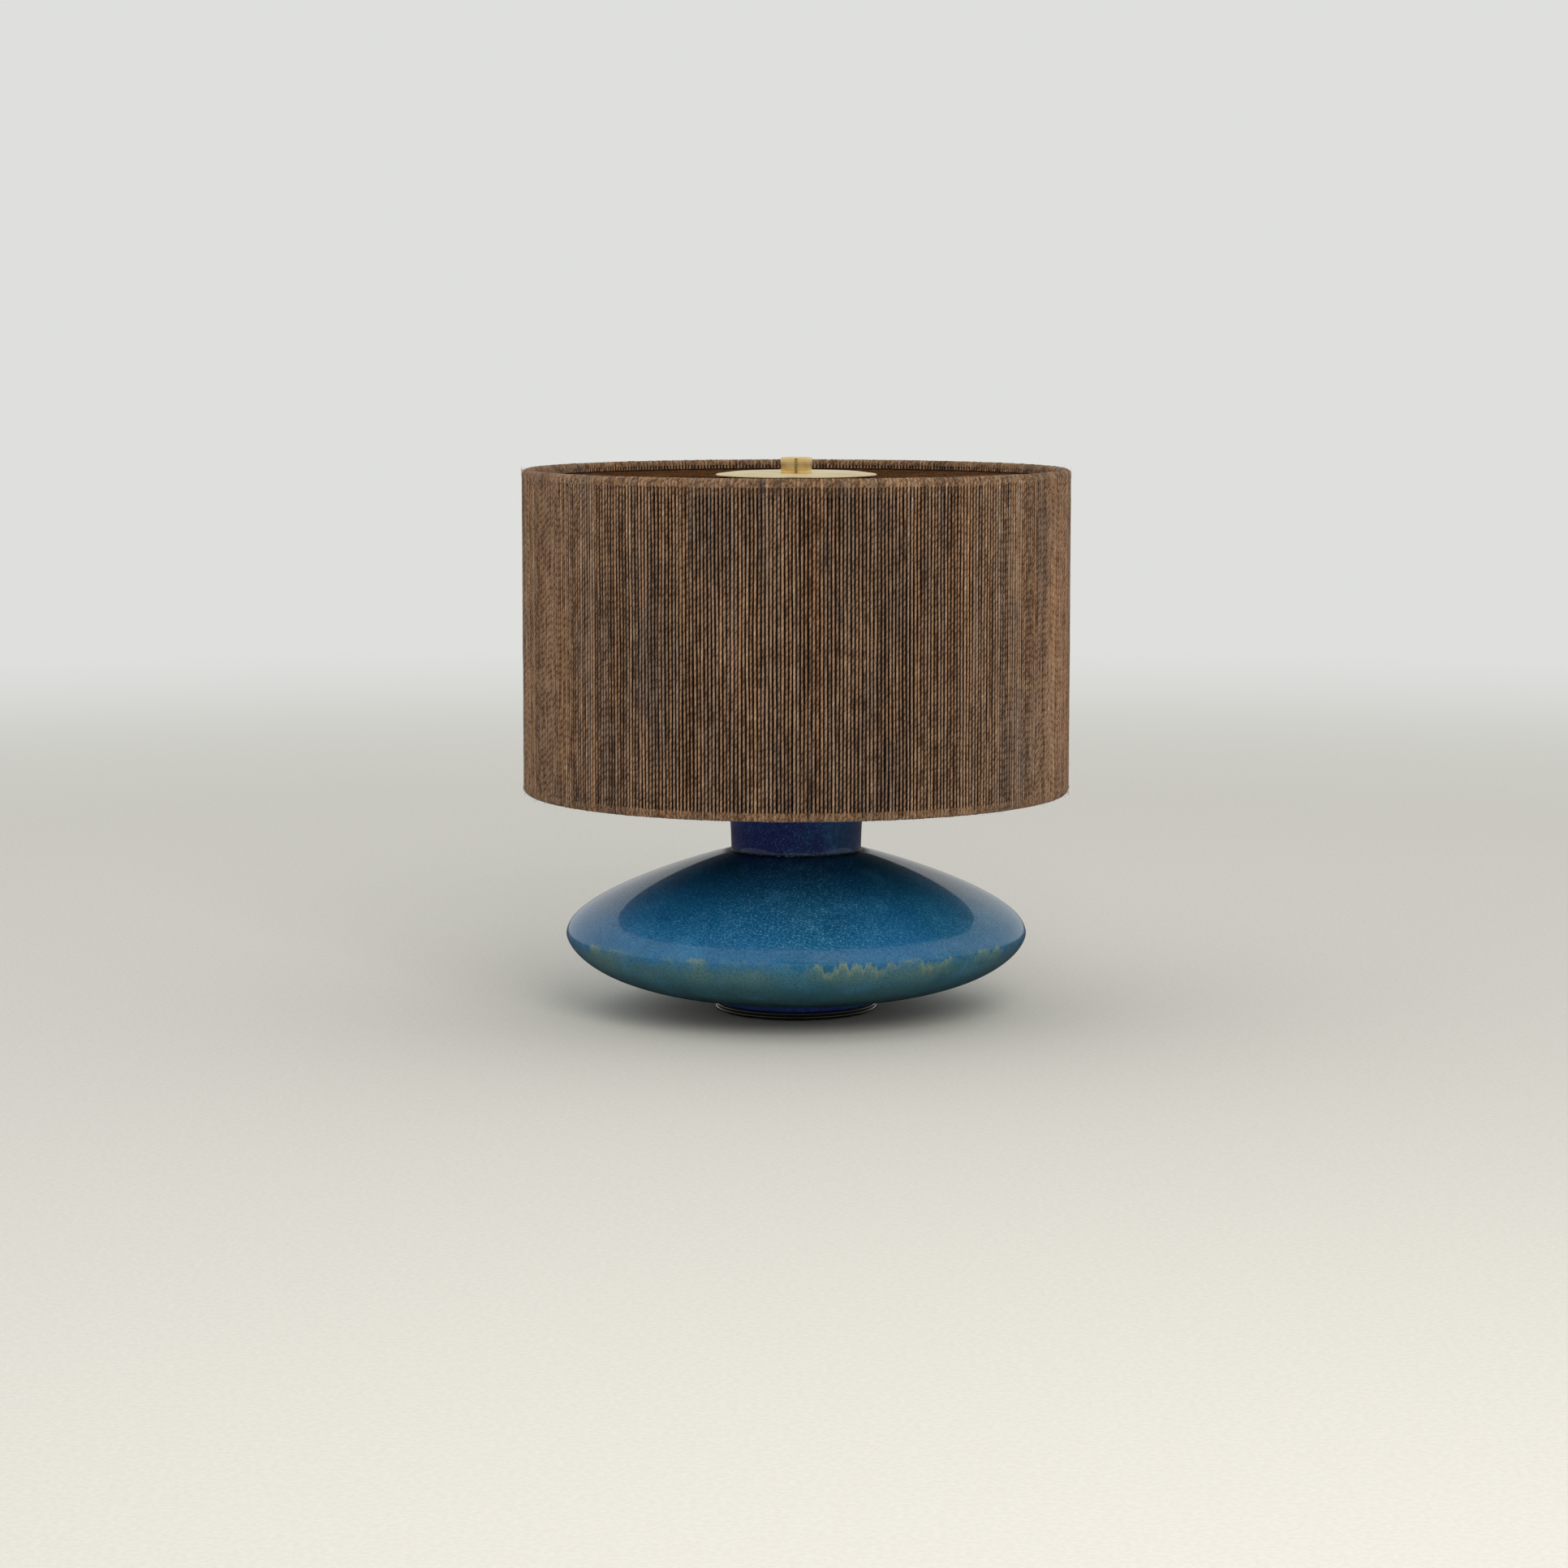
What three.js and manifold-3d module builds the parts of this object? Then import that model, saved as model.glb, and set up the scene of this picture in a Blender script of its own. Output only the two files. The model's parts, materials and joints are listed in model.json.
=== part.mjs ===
// Table lamp: a saucer-shaped ceramic body on a black foot disc, and a drum shade wound with twine.
// Millimetres, +Z up, origin on the table under the lamp's axis.
// Every piece is a separate closed solid, placed where it sits in the assembled lamp.

import * as THREE from 'three';
import { mergeVertices } from 'three/addons/utils/BufferGeometryUtils.js';
import Module from 'manifold-3d';

const wasm = await Module();
wasm.setup();

// ---------------------------------------------------------------- driving dimensions

const SEAT_GAP = 0.3; // between two pieces that rest on each other
const RUNNING_GAP = 0.5; // around a shaft in its hole

// Ceramic body
const BODY_RADIUS = 215;
const BODY_WIDEST_Z = 74;
const BODY_WALL = 7;
const SHOULDER_Z = 151; // where the shoulder meets the neck
const NECK_RADIUS = 60.5;
const NECK_HEIGHT = 89; // from the shoulder to the top of the neck
const NECK_WALL = 6;
const NECK_HOLE_RADIUS = 14;
const NECK_EDGE_RADIUS = 3;
const FOOT_RADIUS = 72.5;
const FOOT_HEIGHT = 8;
const FOOT_HOLE_RADIUS = 54;
const RIM_RISE = 32; // how far the widest edge pulls the upper curve up
const RIM_DROP = 15; // and the lower curve down
const BELLY_REACH = 110; // how far the belly runs out flat from the foot
const BELLY_SLOPE = 2; // degrees

// Foot disc, felt and what clamps the disc
const FELT_RADIUS = 70;
const FELT_THICKNESS = 1.5;
const DISC_RADIUS = 75.7;
const BEAD_RADIUS = 1.55;
const BEAD_COUNT = 2;
const PLUG_HEIGHT = 10; // the step that centres the ceramic foot
const RECESS_RADIUS = 17;
const WASHER_RADIUS = 13;
const WASHER_THICKNESS = 1.5;
const LOCK_WASHER_RADIUS = 9;
const LOCK_WASHER_THICKNESS = 1.2;
const BOTTOM_NUT_HEIGHT = 3.2;
const NUT_ACROSS_FLATS = 15;

// Cord inlet in the back of the foot disc
const INLET_WIDTH = 9.2;
const INLET_HEIGHT = 6.6;
const BUSHING_WALL = 0.7;
const BUSHING_DEPTH = 9;
const BUSHING_LIP = 1.6;
const BUSHING_LIP_THICKNESS = 1.5;

// Pipe and what it carries above the neck
const PIPE_RADIUS = 5;
const PIPE_BORE_RADIUS = 3.2;
const CUSHION_THICKNESS = 1.5;
const CUSHION_RADIUS = 48;
const CAP_SHEET = 1.2;
const CAP_RISE = 7;
const CAP_LIP = 4;
const CAP_NUT_HEIGHT = 4.8;
const SADDLE_SHEET = 1.6;
const SADDLE_MARGIN = 2.5; // sheet left each side of the pipe's hole
const SADDLE_ARM_HEIGHT = 22;
const SADDLE_HALF_SPAN = 31;
const PIPE_STAND = 9; // pipe standing inside the socket cap

// Socket
const SOCKET_RADIUS = 17.5;
const SOCKET_SHEET = 0.8;
const SOCKET_HUB_RADIUS = 8;
const SOCKET_HUB_HEIGHT = 11;
const SOCKET_CUP_HEIGHT = 16;
const SOCKET_SHELL_HEIGHT = 42;
const LINER_THICKNESS = 0.8;
const LINER_STANDOUT = 3;
const CORE_HEIGHT = 19;
const SET_SCREW_RADIUS = 1.6;
const SET_SCREW_LENGTH = 6;
const SCREW_SHELL_RADIUS = 13.9; // outside of the threaded shell
const SCREW_SHELL_WALL = 0.5;
const SCREW_SHELL_HEIGHT = 24;
const KEY_SHAFT_RADIUS = 1.7;
const KEY_SHAFT_LENGTH = 19;
const KEY_RADIUS = 7.5;
const KEY_THICKNESS = 5;
const CONTACT_RADIUS = 4;
const CONTACT_THICKNESS = 0.8;

// Bulb
const BULB_RADIUS = 30;
const BULB_LENGTH = 110;
const BULB_NECK_RADIUS = 12.3;
const BULB_GLASS = 1;
const BULB_CAP_WALL = 0.4;
const BULB_CAP_HEIGHT = 23;
const BULB_TIP_RADIUS = 4.5;
const BULB_TIP_HEIGHT = 1.6;
const BULB_INSULATOR_HEIGHT = 3;

// Harp
const HARP_WIRE_RADIUS = 2.3;
const HARP_HALF_WIDTH = 58;
const FERRULE_RADIUS = 4.4;
const FERRULE_LENGTH = 16;
const FERRULE_TRAVEL = 20;
const STUD_FLANGE_RADIUS = 7;
const STUD_FLANGE_HEIGHT = 4;
const STUD_RADIUS = 3.2;
const STUD_GRIP = 11; // stud standing inside the finial

// Shade
const SHADE_RADIUS = 254;
const SHADE_BOTTOM_Z = 206;
const SHADE_HEIGHT = 300;
const LAYER = 2.7; // thickness of one layer of twine
const FRAME_WIRE_RADIUS = 2.1;
const FRAME_CLEARANCE = 0.4; // between the frame's wire and the twine on each side of it
const SHADE_EDGE_RADIUS = 5;
const PANEL_RECESS = 9; // the top panel below the rim
const PANEL_THICKNESS = 3.5;
const PANEL_HOLE_RADIUS = 24;
const RIB_COUNT = 6;
const SPIDER_ARM_COUNT = 3;
const HUB_RADIUS = 19;

// Brass disc and finial
const PLATE_RADIUS = 74.5;
const PLATE_THICKNESS = 2.2;
const PLATE_STANDOFF = 1.8; // above the top panel
const SPACER_RADIUS = 9;
const FINIAL_RADIUS = 14.5;
const FINIAL_HEIGHT = 15;
const FINIAL_EDGE_RADIUS = 1.4;

// Fineness of the round pieces
const SEGMENTS_LARGE = 48;
const SEGMENTS_MEDIUM = 28;
const SEGMENTS_SMALL = 16;
const WIRE_SIDES = 8;
const PIN_SIDES = 12;

// ---------------------------------------------------------------- levels, from the table up

const feltTop = FELT_THICKNESS;
const discBottom = feltTop + SEAT_GAP;
const discTop = discBottom + 2 * BEAD_RADIUS * BEAD_COUNT;
const footBottom = discTop + SEAT_GAP;
const footTop = footBottom + FOOT_HEIGHT;
const neckTop = SHOULDER_Z + NECK_HEIGHT;

const nutBottom = discBottom + SEAT_GAP;
const lockWasherBottom = nutBottom + BOTTOM_NUT_HEIGHT + SEAT_GAP;
const washerBottom = lockWasherBottom + LOCK_WASHER_THICKNESS + SEAT_GAP;
const recessTop = washerBottom + WASHER_THICKNESS + SEAT_GAP;

const cushionBottom = neckTop + SEAT_GAP;
const capBottom = cushionBottom + CUSHION_THICKNESS + SEAT_GAP;
const capTop = capBottom + CAP_RISE + CAP_SHEET;
const capNutBottom = capTop + SEAT_GAP;
const saddleBottom = capNutBottom + CAP_NUT_HEIGHT + SEAT_GAP;
const saddleTop = saddleBottom + SADDLE_SHEET;
const socketBottom = saddleTop + SEAT_GAP;
const cupTop = socketBottom + SOCKET_HUB_HEIGHT + SOCKET_CUP_HEIGHT;
const shellBottom = cupTop + SEAT_GAP;
const shellTop = shellBottom + SOCKET_SHELL_HEIGHT;
const coreBottom = shellBottom + SEAT_GAP;
const coreTop = coreBottom + CORE_HEIGHT;
const contactBottom = coreTop + SEAT_GAP;
const bulbBottom = contactBottom + CONTACT_THICKNESS + SEAT_GAP;
const bulbTop = bulbBottom + BULB_LENGTH;
const keyZ = coreBottom + CORE_HEIGHT / 2;

const shadeTop = SHADE_BOTTOM_Z + SHADE_HEIGHT;
const panelTop = shadeTop - PANEL_RECESS;
const panelBottom = panelTop - PANEL_THICKNESS;
const hubTop = panelBottom - SEAT_GAP;
const hubBottom = hubTop - 2 * FRAME_WIRE_RADIUS;
const plateBottom = panelTop + PLATE_STANDOFF;
const plateTop = plateBottom + PLATE_THICKNESS;
const studFlangeTop = hubBottom - SEAT_GAP;
const studFlangeBottom = studFlangeTop - STUD_FLANGE_HEIGHT;
const harpTopZ = studFlangeBottom - SEAT_GAP - HARP_WIRE_RADIUS;
const finialBottom = plateTop + SEAT_GAP;

const outerLayerInside = SHADE_RADIUS - LAYER;
const layerSpace = 2 * (FRAME_WIRE_RADIUS + FRAME_CLEARANCE);
const innerLayerOutside = outerLayerInside - layerSpace;
const innerLayerInside = innerLayerOutside - LAYER;
const frameRadius = (outerLayerInside + innerLayerOutside) / 2;
const topRingZ = hubTop - FRAME_WIRE_RADIUS;
const bottomRingZ = SHADE_BOTTOM_Z + SHADE_EDGE_RADIUS + layerSpace / 4;
const innerLayerTop = hubBottom - SEAT_GAP;

// ---------------------------------------------------------------- finishes

const finish = (color, roughness, metalness = 0) => ({ color, roughness, metalness });
const GLAZE = finish('#2b5e8c', 0.15);
const BLACK_LACQUER = finish('#141414', 0.25);
const FELT = finish('#2a2c2a', 0.95);
const RUBBER = finish('#1c1c1c', 0.8);
const STEEL = finish('#b4b4b0', 0.4, 1);
const BRASS = finish('#d8c184', 0.3, 1);
const PALE_BRASS = finish('#e0cf96', 0.35, 1);
const TWINE = finish('#8f7555', 0.9);
const FRAME_PAINT = finish('#3a2c20', 0.5);
const FROSTED_GLASS = finish('#f2efe6', 0.35);
const PHENOLIC = finish('#18130f', 0.5);
const LINER_CARD = finish('#5b4a35', 0.9);
const PORCELAIN = finish('#ece7dc', 0.3);
const ALUMINIUM = finish('#c9cbcc', 0.35, 1);

// ---------------------------------------------------------------- building blocks

const lamp = new THREE.Group();

// Adds one named piece to a group, by default to the lamp itself.
function place(name, geometry, look, parent = lamp) {
  const piece = new THREE.Mesh(geometry, new THREE.MeshStandardMaterial(look));
  piece.name = name;
  parent.add(piece);
  return piece;
}

// Only positions, with shared corners joined, so that the surface is closed.
function weld(geometry) {
  const bare = geometry.clone();
  bare.deleteAttribute('normal');
  bare.deleteAttribute('uv');
  return mergeVertices(bare, 1e-4);
}

function toSolid(geometry) {
  const welded = weld(geometry);
  const vertProperties = new Float32Array(welded.attributes.position.array);
  const triVerts = new Uint32Array(welded.index.array);
  return new wasm.Manifold(new wasm.Mesh({ numProp: 3, vertProperties, triVerts }));
}

function toGeometry(solid) {
  const { vertProperties, triVerts } = solid.getMesh();
  const geometry = new THREE.BufferGeometry();
  geometry.setAttribute('position', new THREE.BufferAttribute(vertProperties, 3));
  geometry.setIndex(new THREE.BufferAttribute(triVerts, 1));
  return geometry;
}

const cut = (geometry, ...tools) =>
  toGeometry(tools.reduce((solid, tool) => solid.subtract(toSolid(tool)), toSolid(geometry)));

const join = (...geometries) =>
  toGeometry(geometries.slice(1).reduce((solid, next) => solid.add(toSolid(next)), toSolid(geometries[0])));

// A profile of [radius, height] points, turned about +Z. The outside runs upward.
function turned(profile, segments) {
  const points = profile.map((p) => (p.isVector2 ? p : new THREE.Vector2(...p)));
  return weld(new THREE.LatheGeometry(points, segments)).rotateX(Math.PI / 2);
}

// A plain ring or disc between two heights.
function ring(inside, outside, bottom, top, segments) {
  const outline = [[inside, bottom], [outside, bottom], [outside, top], [inside, top]];
  return turned(inside > 0 ? [...outline, outline[0]] : outline, segments);
}

// A wire bent into a full circle about +Z.
function wireRing(radius, z, wireRadius, segments) {
  const section = [];
  for (let side = 0; side <= WIRE_SIDES; side += 1) {
    const angle = ((side % WIRE_SIDES) / WIRE_SIDES) * 2 * Math.PI;
    section.push([radius + wireRadius * Math.cos(angle), z + wireRadius * Math.sin(angle)]);
  }
  return turned(section, segments);
}

// A wire along an open curve.
function wire(curve, radius, steps) {
  const section = new THREE.Shape();
  section.absarc(0, 0, radius, 0, 2 * Math.PI);
  const options = { steps, curveSegments: WIRE_SIDES / 2, extrudePath: curve, bevelEnabled: false };
  return weld(new THREE.ExtrudeGeometry(section, options));
}

// A bar between two points.
function bar(from, to, radius, sides = WIRE_SIDES) {
  const start = new THREE.Vector3(...from);
  const along = new THREE.Vector3(...to).sub(start);
  const geometry = new THREE.CylinderGeometry(radius, radius, along.length(), sides);
  const upright = new THREE.Vector3(0, 1, 0);
  const turn = new THREE.Quaternion().setFromUnitVectors(upright, along.clone().normalize());
  return weld(geometry).applyQuaternion(turn).translate(...start.addScaledVector(along, 0.5).toArray());
}

function block(width, depth, bottom, top, y = 0) {
  return weld(new THREE.BoxGeometry(width, depth, top - bottom)).translate(0, y, (top + bottom) / 2);
}

// A hexagonal nut on the pipe or on any other round thread.
function hexNut(acrossFlats, boreRadius, bottom, height) {
  const outline = new THREE.Shape();
  const corner = acrossFlats / 2 / Math.cos(Math.PI / 6);
  for (let i = 0; i < 6; i += 1) {
    const angle = (i / 6) * 2 * Math.PI;
    outline[i === 0 ? 'moveTo' : 'lineTo'](corner * Math.cos(angle), corner * Math.sin(angle));
  }
  outline.closePath();
  const hole = new THREE.Path();
  hole.absarc(0, 0, boreRadius, 0, 2 * Math.PI, true);
  outline.holes.push(hole);
  const options = { depth: height, curveSegments: SEGMENTS_SMALL / 2, bevelEnabled: false };
  return weld(new THREE.ExtrudeGeometry(outline, options)).translate(0, 0, bottom);
}

// Points along a line drawn with a THREE.Path, without doubled corners.
function trace(draw, divisions) {
  const path = new THREE.Path();
  draw(path);
  const points = path.getPoints(divisions);
  return points.filter((point, i) => i === 0 || point.distanceTo(points[i - 1]) > 1e-3);
}

// ---------------------------------------------------------------- foot

place('felt_pad', ring(0, FELT_RADIUS, 0, feltTop, SEGMENTS_MEDIUM), FELT);

function footDisc() {
  const outline = trace((path) => {
    path.moveTo(RECESS_RADIUS, discBottom);
    path.lineTo(DISC_RADIUS - BEAD_RADIUS, discBottom);
    for (let bead = 0; bead < BEAD_COUNT; bead += 1) {
      const centre = discBottom + BEAD_RADIUS * (2 * bead + 1);
      path.absarc(DISC_RADIUS - BEAD_RADIUS, centre, BEAD_RADIUS, -Math.PI / 2, Math.PI / 2);
    }
    path.lineTo(FOOT_HOLE_RADIUS - RUNNING_GAP, discTop);
    path.lineTo(FOOT_HOLE_RADIUS - RUNNING_GAP, discTop + PLUG_HEIGHT);
    path.lineTo(PIPE_RADIUS + RUNNING_GAP, discTop + PLUG_HEIGHT);
    path.lineTo(PIPE_RADIUS + RUNNING_GAP, recessTop);
    path.lineTo(RECESS_RADIUS, recessTop);
    path.lineTo(RECESS_RADIUS, discBottom);
  }, 2);
  const channelDepth = DISC_RADIUS + INLET_WIDTH;
  const channel = block(INLET_WIDTH, channelDepth, 0, discBottom + INLET_HEIGHT, channelDepth / 2);
  return cut(turned(outline, SEGMENTS_LARGE), channel);
}
place('foot_disc', footDisc(), BLACK_LACQUER);

const boltBore = PIPE_RADIUS + SEAT_GAP;
const washerTop = washerBottom + WASHER_THICKNESS;
const lockWasherTop = lockWasherBottom + LOCK_WASHER_THICKNESS;
place('bottom_washer', ring(boltBore, WASHER_RADIUS, washerBottom, washerTop, SEGMENTS_SMALL), STEEL);
const lockWasher = ring(boltBore, LOCK_WASHER_RADIUS, lockWasherBottom, lockWasherTop, SEGMENTS_SMALL);
place('lock_washer', lockWasher, STEEL);
place('bottom_nut', hexNut(NUT_ACROSS_FLATS, boltBore, nutBottom, BOTTOM_NUT_HEIGHT), STEEL);

// The bushing lines the notch in the foot disc: a square sleeve with a lip outside.
function cordBushing() {
  const bottom = discBottom + SEAT_GAP;
  const top = discTop - SEAT_GAP;
  const width = INLET_WIDTH - 2 * SEAT_GAP;
  const lipInside = DISC_RADIUS + SEAT_GAP;
  const lipY = lipInside + BUSHING_LIP_THICKNESS / 2;
  const sleeveY = DISC_RADIUS - BUSHING_DEPTH / 2 + BUSHING_LIP_THICKNESS / 2;
  const sleeve = block(width, BUSHING_DEPTH + BUSHING_LIP_THICKNESS, bottom, top, sleeveY);
  const lip = block(width + 2 * BUSHING_LIP, BUSHING_LIP_THICKNESS, bottom, top, lipY);
  const opening = block(
    width - 2 * BUSHING_WALL, 4 * BUSHING_DEPTH, bottom + BUSHING_WALL, top - BUSHING_WALL, DISC_RADIUS,
  );
  return cut(join(sleeve, lip), opening);
}
place('cord_bushing', cordBushing(), RUBBER);

// ---------------------------------------------------------------- ceramic body

// The belly and the shoulder are two smooth curves that meet at the widest edge.
function bodyOutline(path, inset) {
  const edge = BODY_RADIUS - inset;
  const slope = THREE.MathUtils.degToRad(BELLY_SLOPE);
  const start = new THREE.Vector2(FOOT_RADIUS - inset, footTop + inset);
  const neck = new THREE.Vector2(NECK_RADIUS - inset, SHOULDER_Z - inset);
  const run = (BELLY_REACH * (edge - start.x)) / (BODY_RADIUS - FOOT_RADIUS);
  path.bezierCurveTo(
    start.x + run * Math.cos(slope), start.y + run * Math.sin(slope),
    edge, BODY_WIDEST_Z - RIM_DROP + inset,
    edge, BODY_WIDEST_Z,
  );
  path.bezierCurveTo(
    edge, BODY_WIDEST_Z + RIM_RISE - inset,
    neck.x + (edge - neck.x) / 6, neck.y - (neck.y - BODY_WIDEST_Z) / 15,
    neck.x, neck.y,
  );
}

function ceramicBody() {
  const outside = trace((path) => {
    path.moveTo(FOOT_RADIUS, footTop);
    bodyOutline(path, 0);
  }, 9);
  const neck = trace((path) => {
    path.moveTo(NECK_RADIUS, neckTop - NECK_EDGE_RADIUS);
    path.absarc(NECK_RADIUS - NECK_EDGE_RADIUS, neckTop - NECK_EDGE_RADIUS, NECK_EDGE_RADIUS, 0, Math.PI / 2);
    path.lineTo(NECK_HOLE_RADIUS, neckTop);
    path.lineTo(NECK_HOLE_RADIUS, neckTop - NECK_WALL);
    path.lineTo(NECK_RADIUS - BODY_WALL, neckTop - NECK_WALL);
  }, 1);
  const inside = trace((path) => {
    path.moveTo(FOOT_RADIUS - BODY_WALL, footTop + BODY_WALL);
    bodyOutline(path, BODY_WALL);
  }, 5).reverse();
  const foot = [
    [FOOT_HOLE_RADIUS, footTop + BODY_WALL],
    [FOOT_HOLE_RADIUS, footBottom],
    [FOOT_RADIUS, footBottom],
  ].map(([radius, z]) => new THREE.Vector2(radius, z));
  return turned([...outside, ...neck, ...inside, ...foot, outside[0]], SEGMENTS_LARGE);
}
place('ceramic_body', ceramicBody(), GLAZE);

// ---------------------------------------------------------------- pipe and vase cap

const pipeBottom = nutBottom;
const pipeTop = socketBottom + PIPE_STAND;
place('lamp_pipe', ring(PIPE_BORE_RADIUS, PIPE_RADIUS, pipeBottom, pipeTop, SEGMENTS_SMALL), STEEL);

const cushionTop = cushionBottom + CUSHION_THICKNESS;
const cushion = ring(NECK_HOLE_RADIUS, CUSHION_RADIUS, cushionBottom, cushionTop, SEGMENTS_MEDIUM);
place('neck_cushion', cushion, RUBBER);

// Spun sheet: a low dome with a short lip that turns down over the neck.
function vaseCap() {
  const lipInside = NECK_RADIUS + RUNNING_GAP;
  const bore = PIPE_RADIUS + RUNNING_GAP;
  const flat = NUT_ACROSS_FLATS;
  return turned([
    [bore, capTop - CAP_SHEET],
    [flat, capTop - CAP_SHEET],
    [CUSHION_RADIUS, capBottom],
    [lipInside, capBottom],
    [lipInside, capBottom - CAP_LIP],
    [lipInside + CAP_SHEET, capBottom - CAP_LIP],
    [lipInside + CAP_SHEET, capBottom + CAP_SHEET],
    [CUSHION_RADIUS, capBottom + CAP_SHEET],
    [flat, capTop],
    [bore, capTop],
    [bore, capTop - CAP_SHEET],
  ], SEGMENTS_MEDIUM);
}
place('vase_cap', vaseCap(), BRASS);
place('cap_nut', hexNut(NUT_ACROSS_FLATS, boltBore, capNutBottom, CAP_NUT_HEIGHT), BRASS);

// ---------------------------------------------------------------- harp

// A flat strip with a hole for the pipe and two upturned arms.
function harpSaddle() {
  const outside = SADDLE_HALF_SPAN + SADDLE_SHEET / 2;
  const inside = SADDLE_HALF_SPAN - SADDLE_SHEET / 2;
  const armTop = saddleBottom + SADDLE_ARM_HEIGHT;
  const shape = new THREE.Shape();
  shape.moveTo(-outside, saddleBottom);
  shape.lineTo(outside, saddleBottom);
  shape.lineTo(outside, armTop);
  shape.lineTo(inside, armTop);
  shape.lineTo(inside, saddleTop);
  shape.lineTo(-inside, saddleTop);
  shape.lineTo(-inside, armTop);
  shape.lineTo(-outside, armTop);
  shape.closePath();
  const holeRadius = PIPE_RADIUS + RUNNING_GAP;
  const width = 2 * (holeRadius + SADDLE_MARGIN);
  const strip = new THREE.ExtrudeGeometry(shape, { depth: width, bevelEnabled: false });
  const upright = weld(strip).translate(0, 0, -width / 2).rotateX(Math.PI / 2);
  const hole = ring(0, holeRadius, saddleBottom - SADDLE_SHEET, saddleTop + SADDLE_SHEET, SEGMENTS_SMALL);
  return cut(upright, hole);
}
place('harp_saddle', harpSaddle(), BRASS);

const harpFootZ = saddleBottom + SADDLE_ARM_HEIGHT + SEAT_GAP;
const harpRise = harpTopZ - harpFootZ;

// One side of the loop, from its straight foot out around the bulb and in to the top.
const harpSide = (sign) => [
  [SADDLE_HALF_SPAN, 0],
  [SADDLE_HALF_SPAN, (FERRULE_LENGTH + FERRULE_TRAVEL) / 2],
  [SADDLE_HALF_SPAN, FERRULE_LENGTH + FERRULE_TRAVEL],
  [SADDLE_HALF_SPAN, FERRULE_LENGTH + FERRULE_TRAVEL + 2 * FERRULE_RADIUS],
  [HARP_HALF_WIDTH * 0.86, harpRise * 0.34],
  [HARP_HALF_WIDTH, harpRise * 0.52],
  [HARP_HALF_WIDTH * 0.88, harpRise * 0.74],
  [HARP_HALF_WIDTH * 0.48, harpRise * 0.94],
  [2 * STUD_FLANGE_RADIUS, harpRise],
  [STUD_FLANGE_RADIUS, harpRise],
].map(([x, rise]) => new THREE.Vector3(sign * x, 0, harpFootZ + rise));

const harpPoints = [...harpSide(-1), ...harpSide(1).reverse()];
const harpPath = new THREE.CatmullRomCurve3(harpPoints, false, 'centripetal');
place('harp', wire(harpPath, HARP_WIRE_RADIUS, 44), BRASS);

for (const [side, sign] of [['left', -1], ['right', 1]]) {
  const bore = HARP_WIRE_RADIUS + RUNNING_GAP;
  const sleeve = ring(bore, FERRULE_RADIUS, 0, FERRULE_LENGTH, SEGMENTS_SMALL);
  const ferrule = place(`harp_ferrule_${side}`, sleeve, BRASS);
  ferrule.position.set(sign * SADDLE_HALF_SPAN, 0, harpFootZ);
}

const studTop = finialBottom + STUD_GRIP;
const stud = turned([
  [0, studFlangeBottom],
  [STUD_FLANGE_RADIUS, studFlangeBottom],
  [STUD_FLANGE_RADIUS, studFlangeTop],
  [STUD_RADIUS, studFlangeTop],
  [STUD_RADIUS, studTop],
  [0, studTop],
], SEGMENTS_SMALL);
place('harp_stud', stud, BRASS);

// ---------------------------------------------------------------- socket

const hubTopZ = socketBottom + SOCKET_HUB_HEIGHT;
const setScrewZ = socketBottom + SOCKET_HUB_HEIGHT / 2;

function socketCap() {
  const bore = PIPE_RADIUS + SEAT_GAP;
  const inside = SOCKET_RADIUS - SOCKET_SHEET;
  const cup = turned([
    [bore, socketBottom],
    [SOCKET_HUB_RADIUS, socketBottom],
    [SOCKET_HUB_RADIUS, hubTopZ],
    [SOCKET_RADIUS, hubTopZ + SOCKET_CUP_HEIGHT / 2],
    [SOCKET_RADIUS, cupTop],
    [inside, cupTop],
    [inside, hubTopZ + SOCKET_CUP_HEIGHT / 2 + SOCKET_SHEET],
    [SOCKET_HUB_RADIUS - SOCKET_SHEET, hubTopZ + SOCKET_SHEET],
    [bore, hubTopZ + SOCKET_SHEET],
    [bore, socketBottom],
  ], SEGMENTS_MEDIUM);
  const holeRadius = SET_SCREW_RADIUS + SEAT_GAP;
  const screwHole = bar([0, 0, setScrewZ], [0, SOCKET_RADIUS, setScrewZ], holeRadius, PIN_SIDES);
  return cut(cup, screwHole);
}
place('socket_cap', socketCap(), BRASS);

const setScrewStart = PIPE_RADIUS + SEAT_GAP;
const setScrewEnd = setScrewStart + SET_SCREW_LENGTH;
const setScrew = bar([0, setScrewStart, setScrewZ], [0, setScrewEnd, setScrewZ], SET_SCREW_RADIUS, PIN_SIDES);
place('set_screw', setScrew, STEEL);

const keyHole = bar([0, 0, keyZ], [0, -2 * SOCKET_RADIUS, keyZ], KEY_SHAFT_RADIUS + RUNNING_GAP, PIN_SIDES);
const shellTube = ring(SOCKET_RADIUS - SOCKET_SHEET, SOCKET_RADIUS, shellBottom, shellTop, SEGMENTS_MEDIUM);
place('socket_shell', cut(shellTube, keyHole), BRASS);

const linerOutside = SOCKET_RADIUS - SOCKET_SHEET - SEAT_GAP;
const linerInside = linerOutside - LINER_THICKNESS;
const linerTube = ring(linerInside, linerOutside, coreBottom, shellTop + LINER_STANDOUT, SEGMENTS_MEDIUM);
place('socket_liner', cut(linerTube, keyHole), LINER_CARD);

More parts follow.
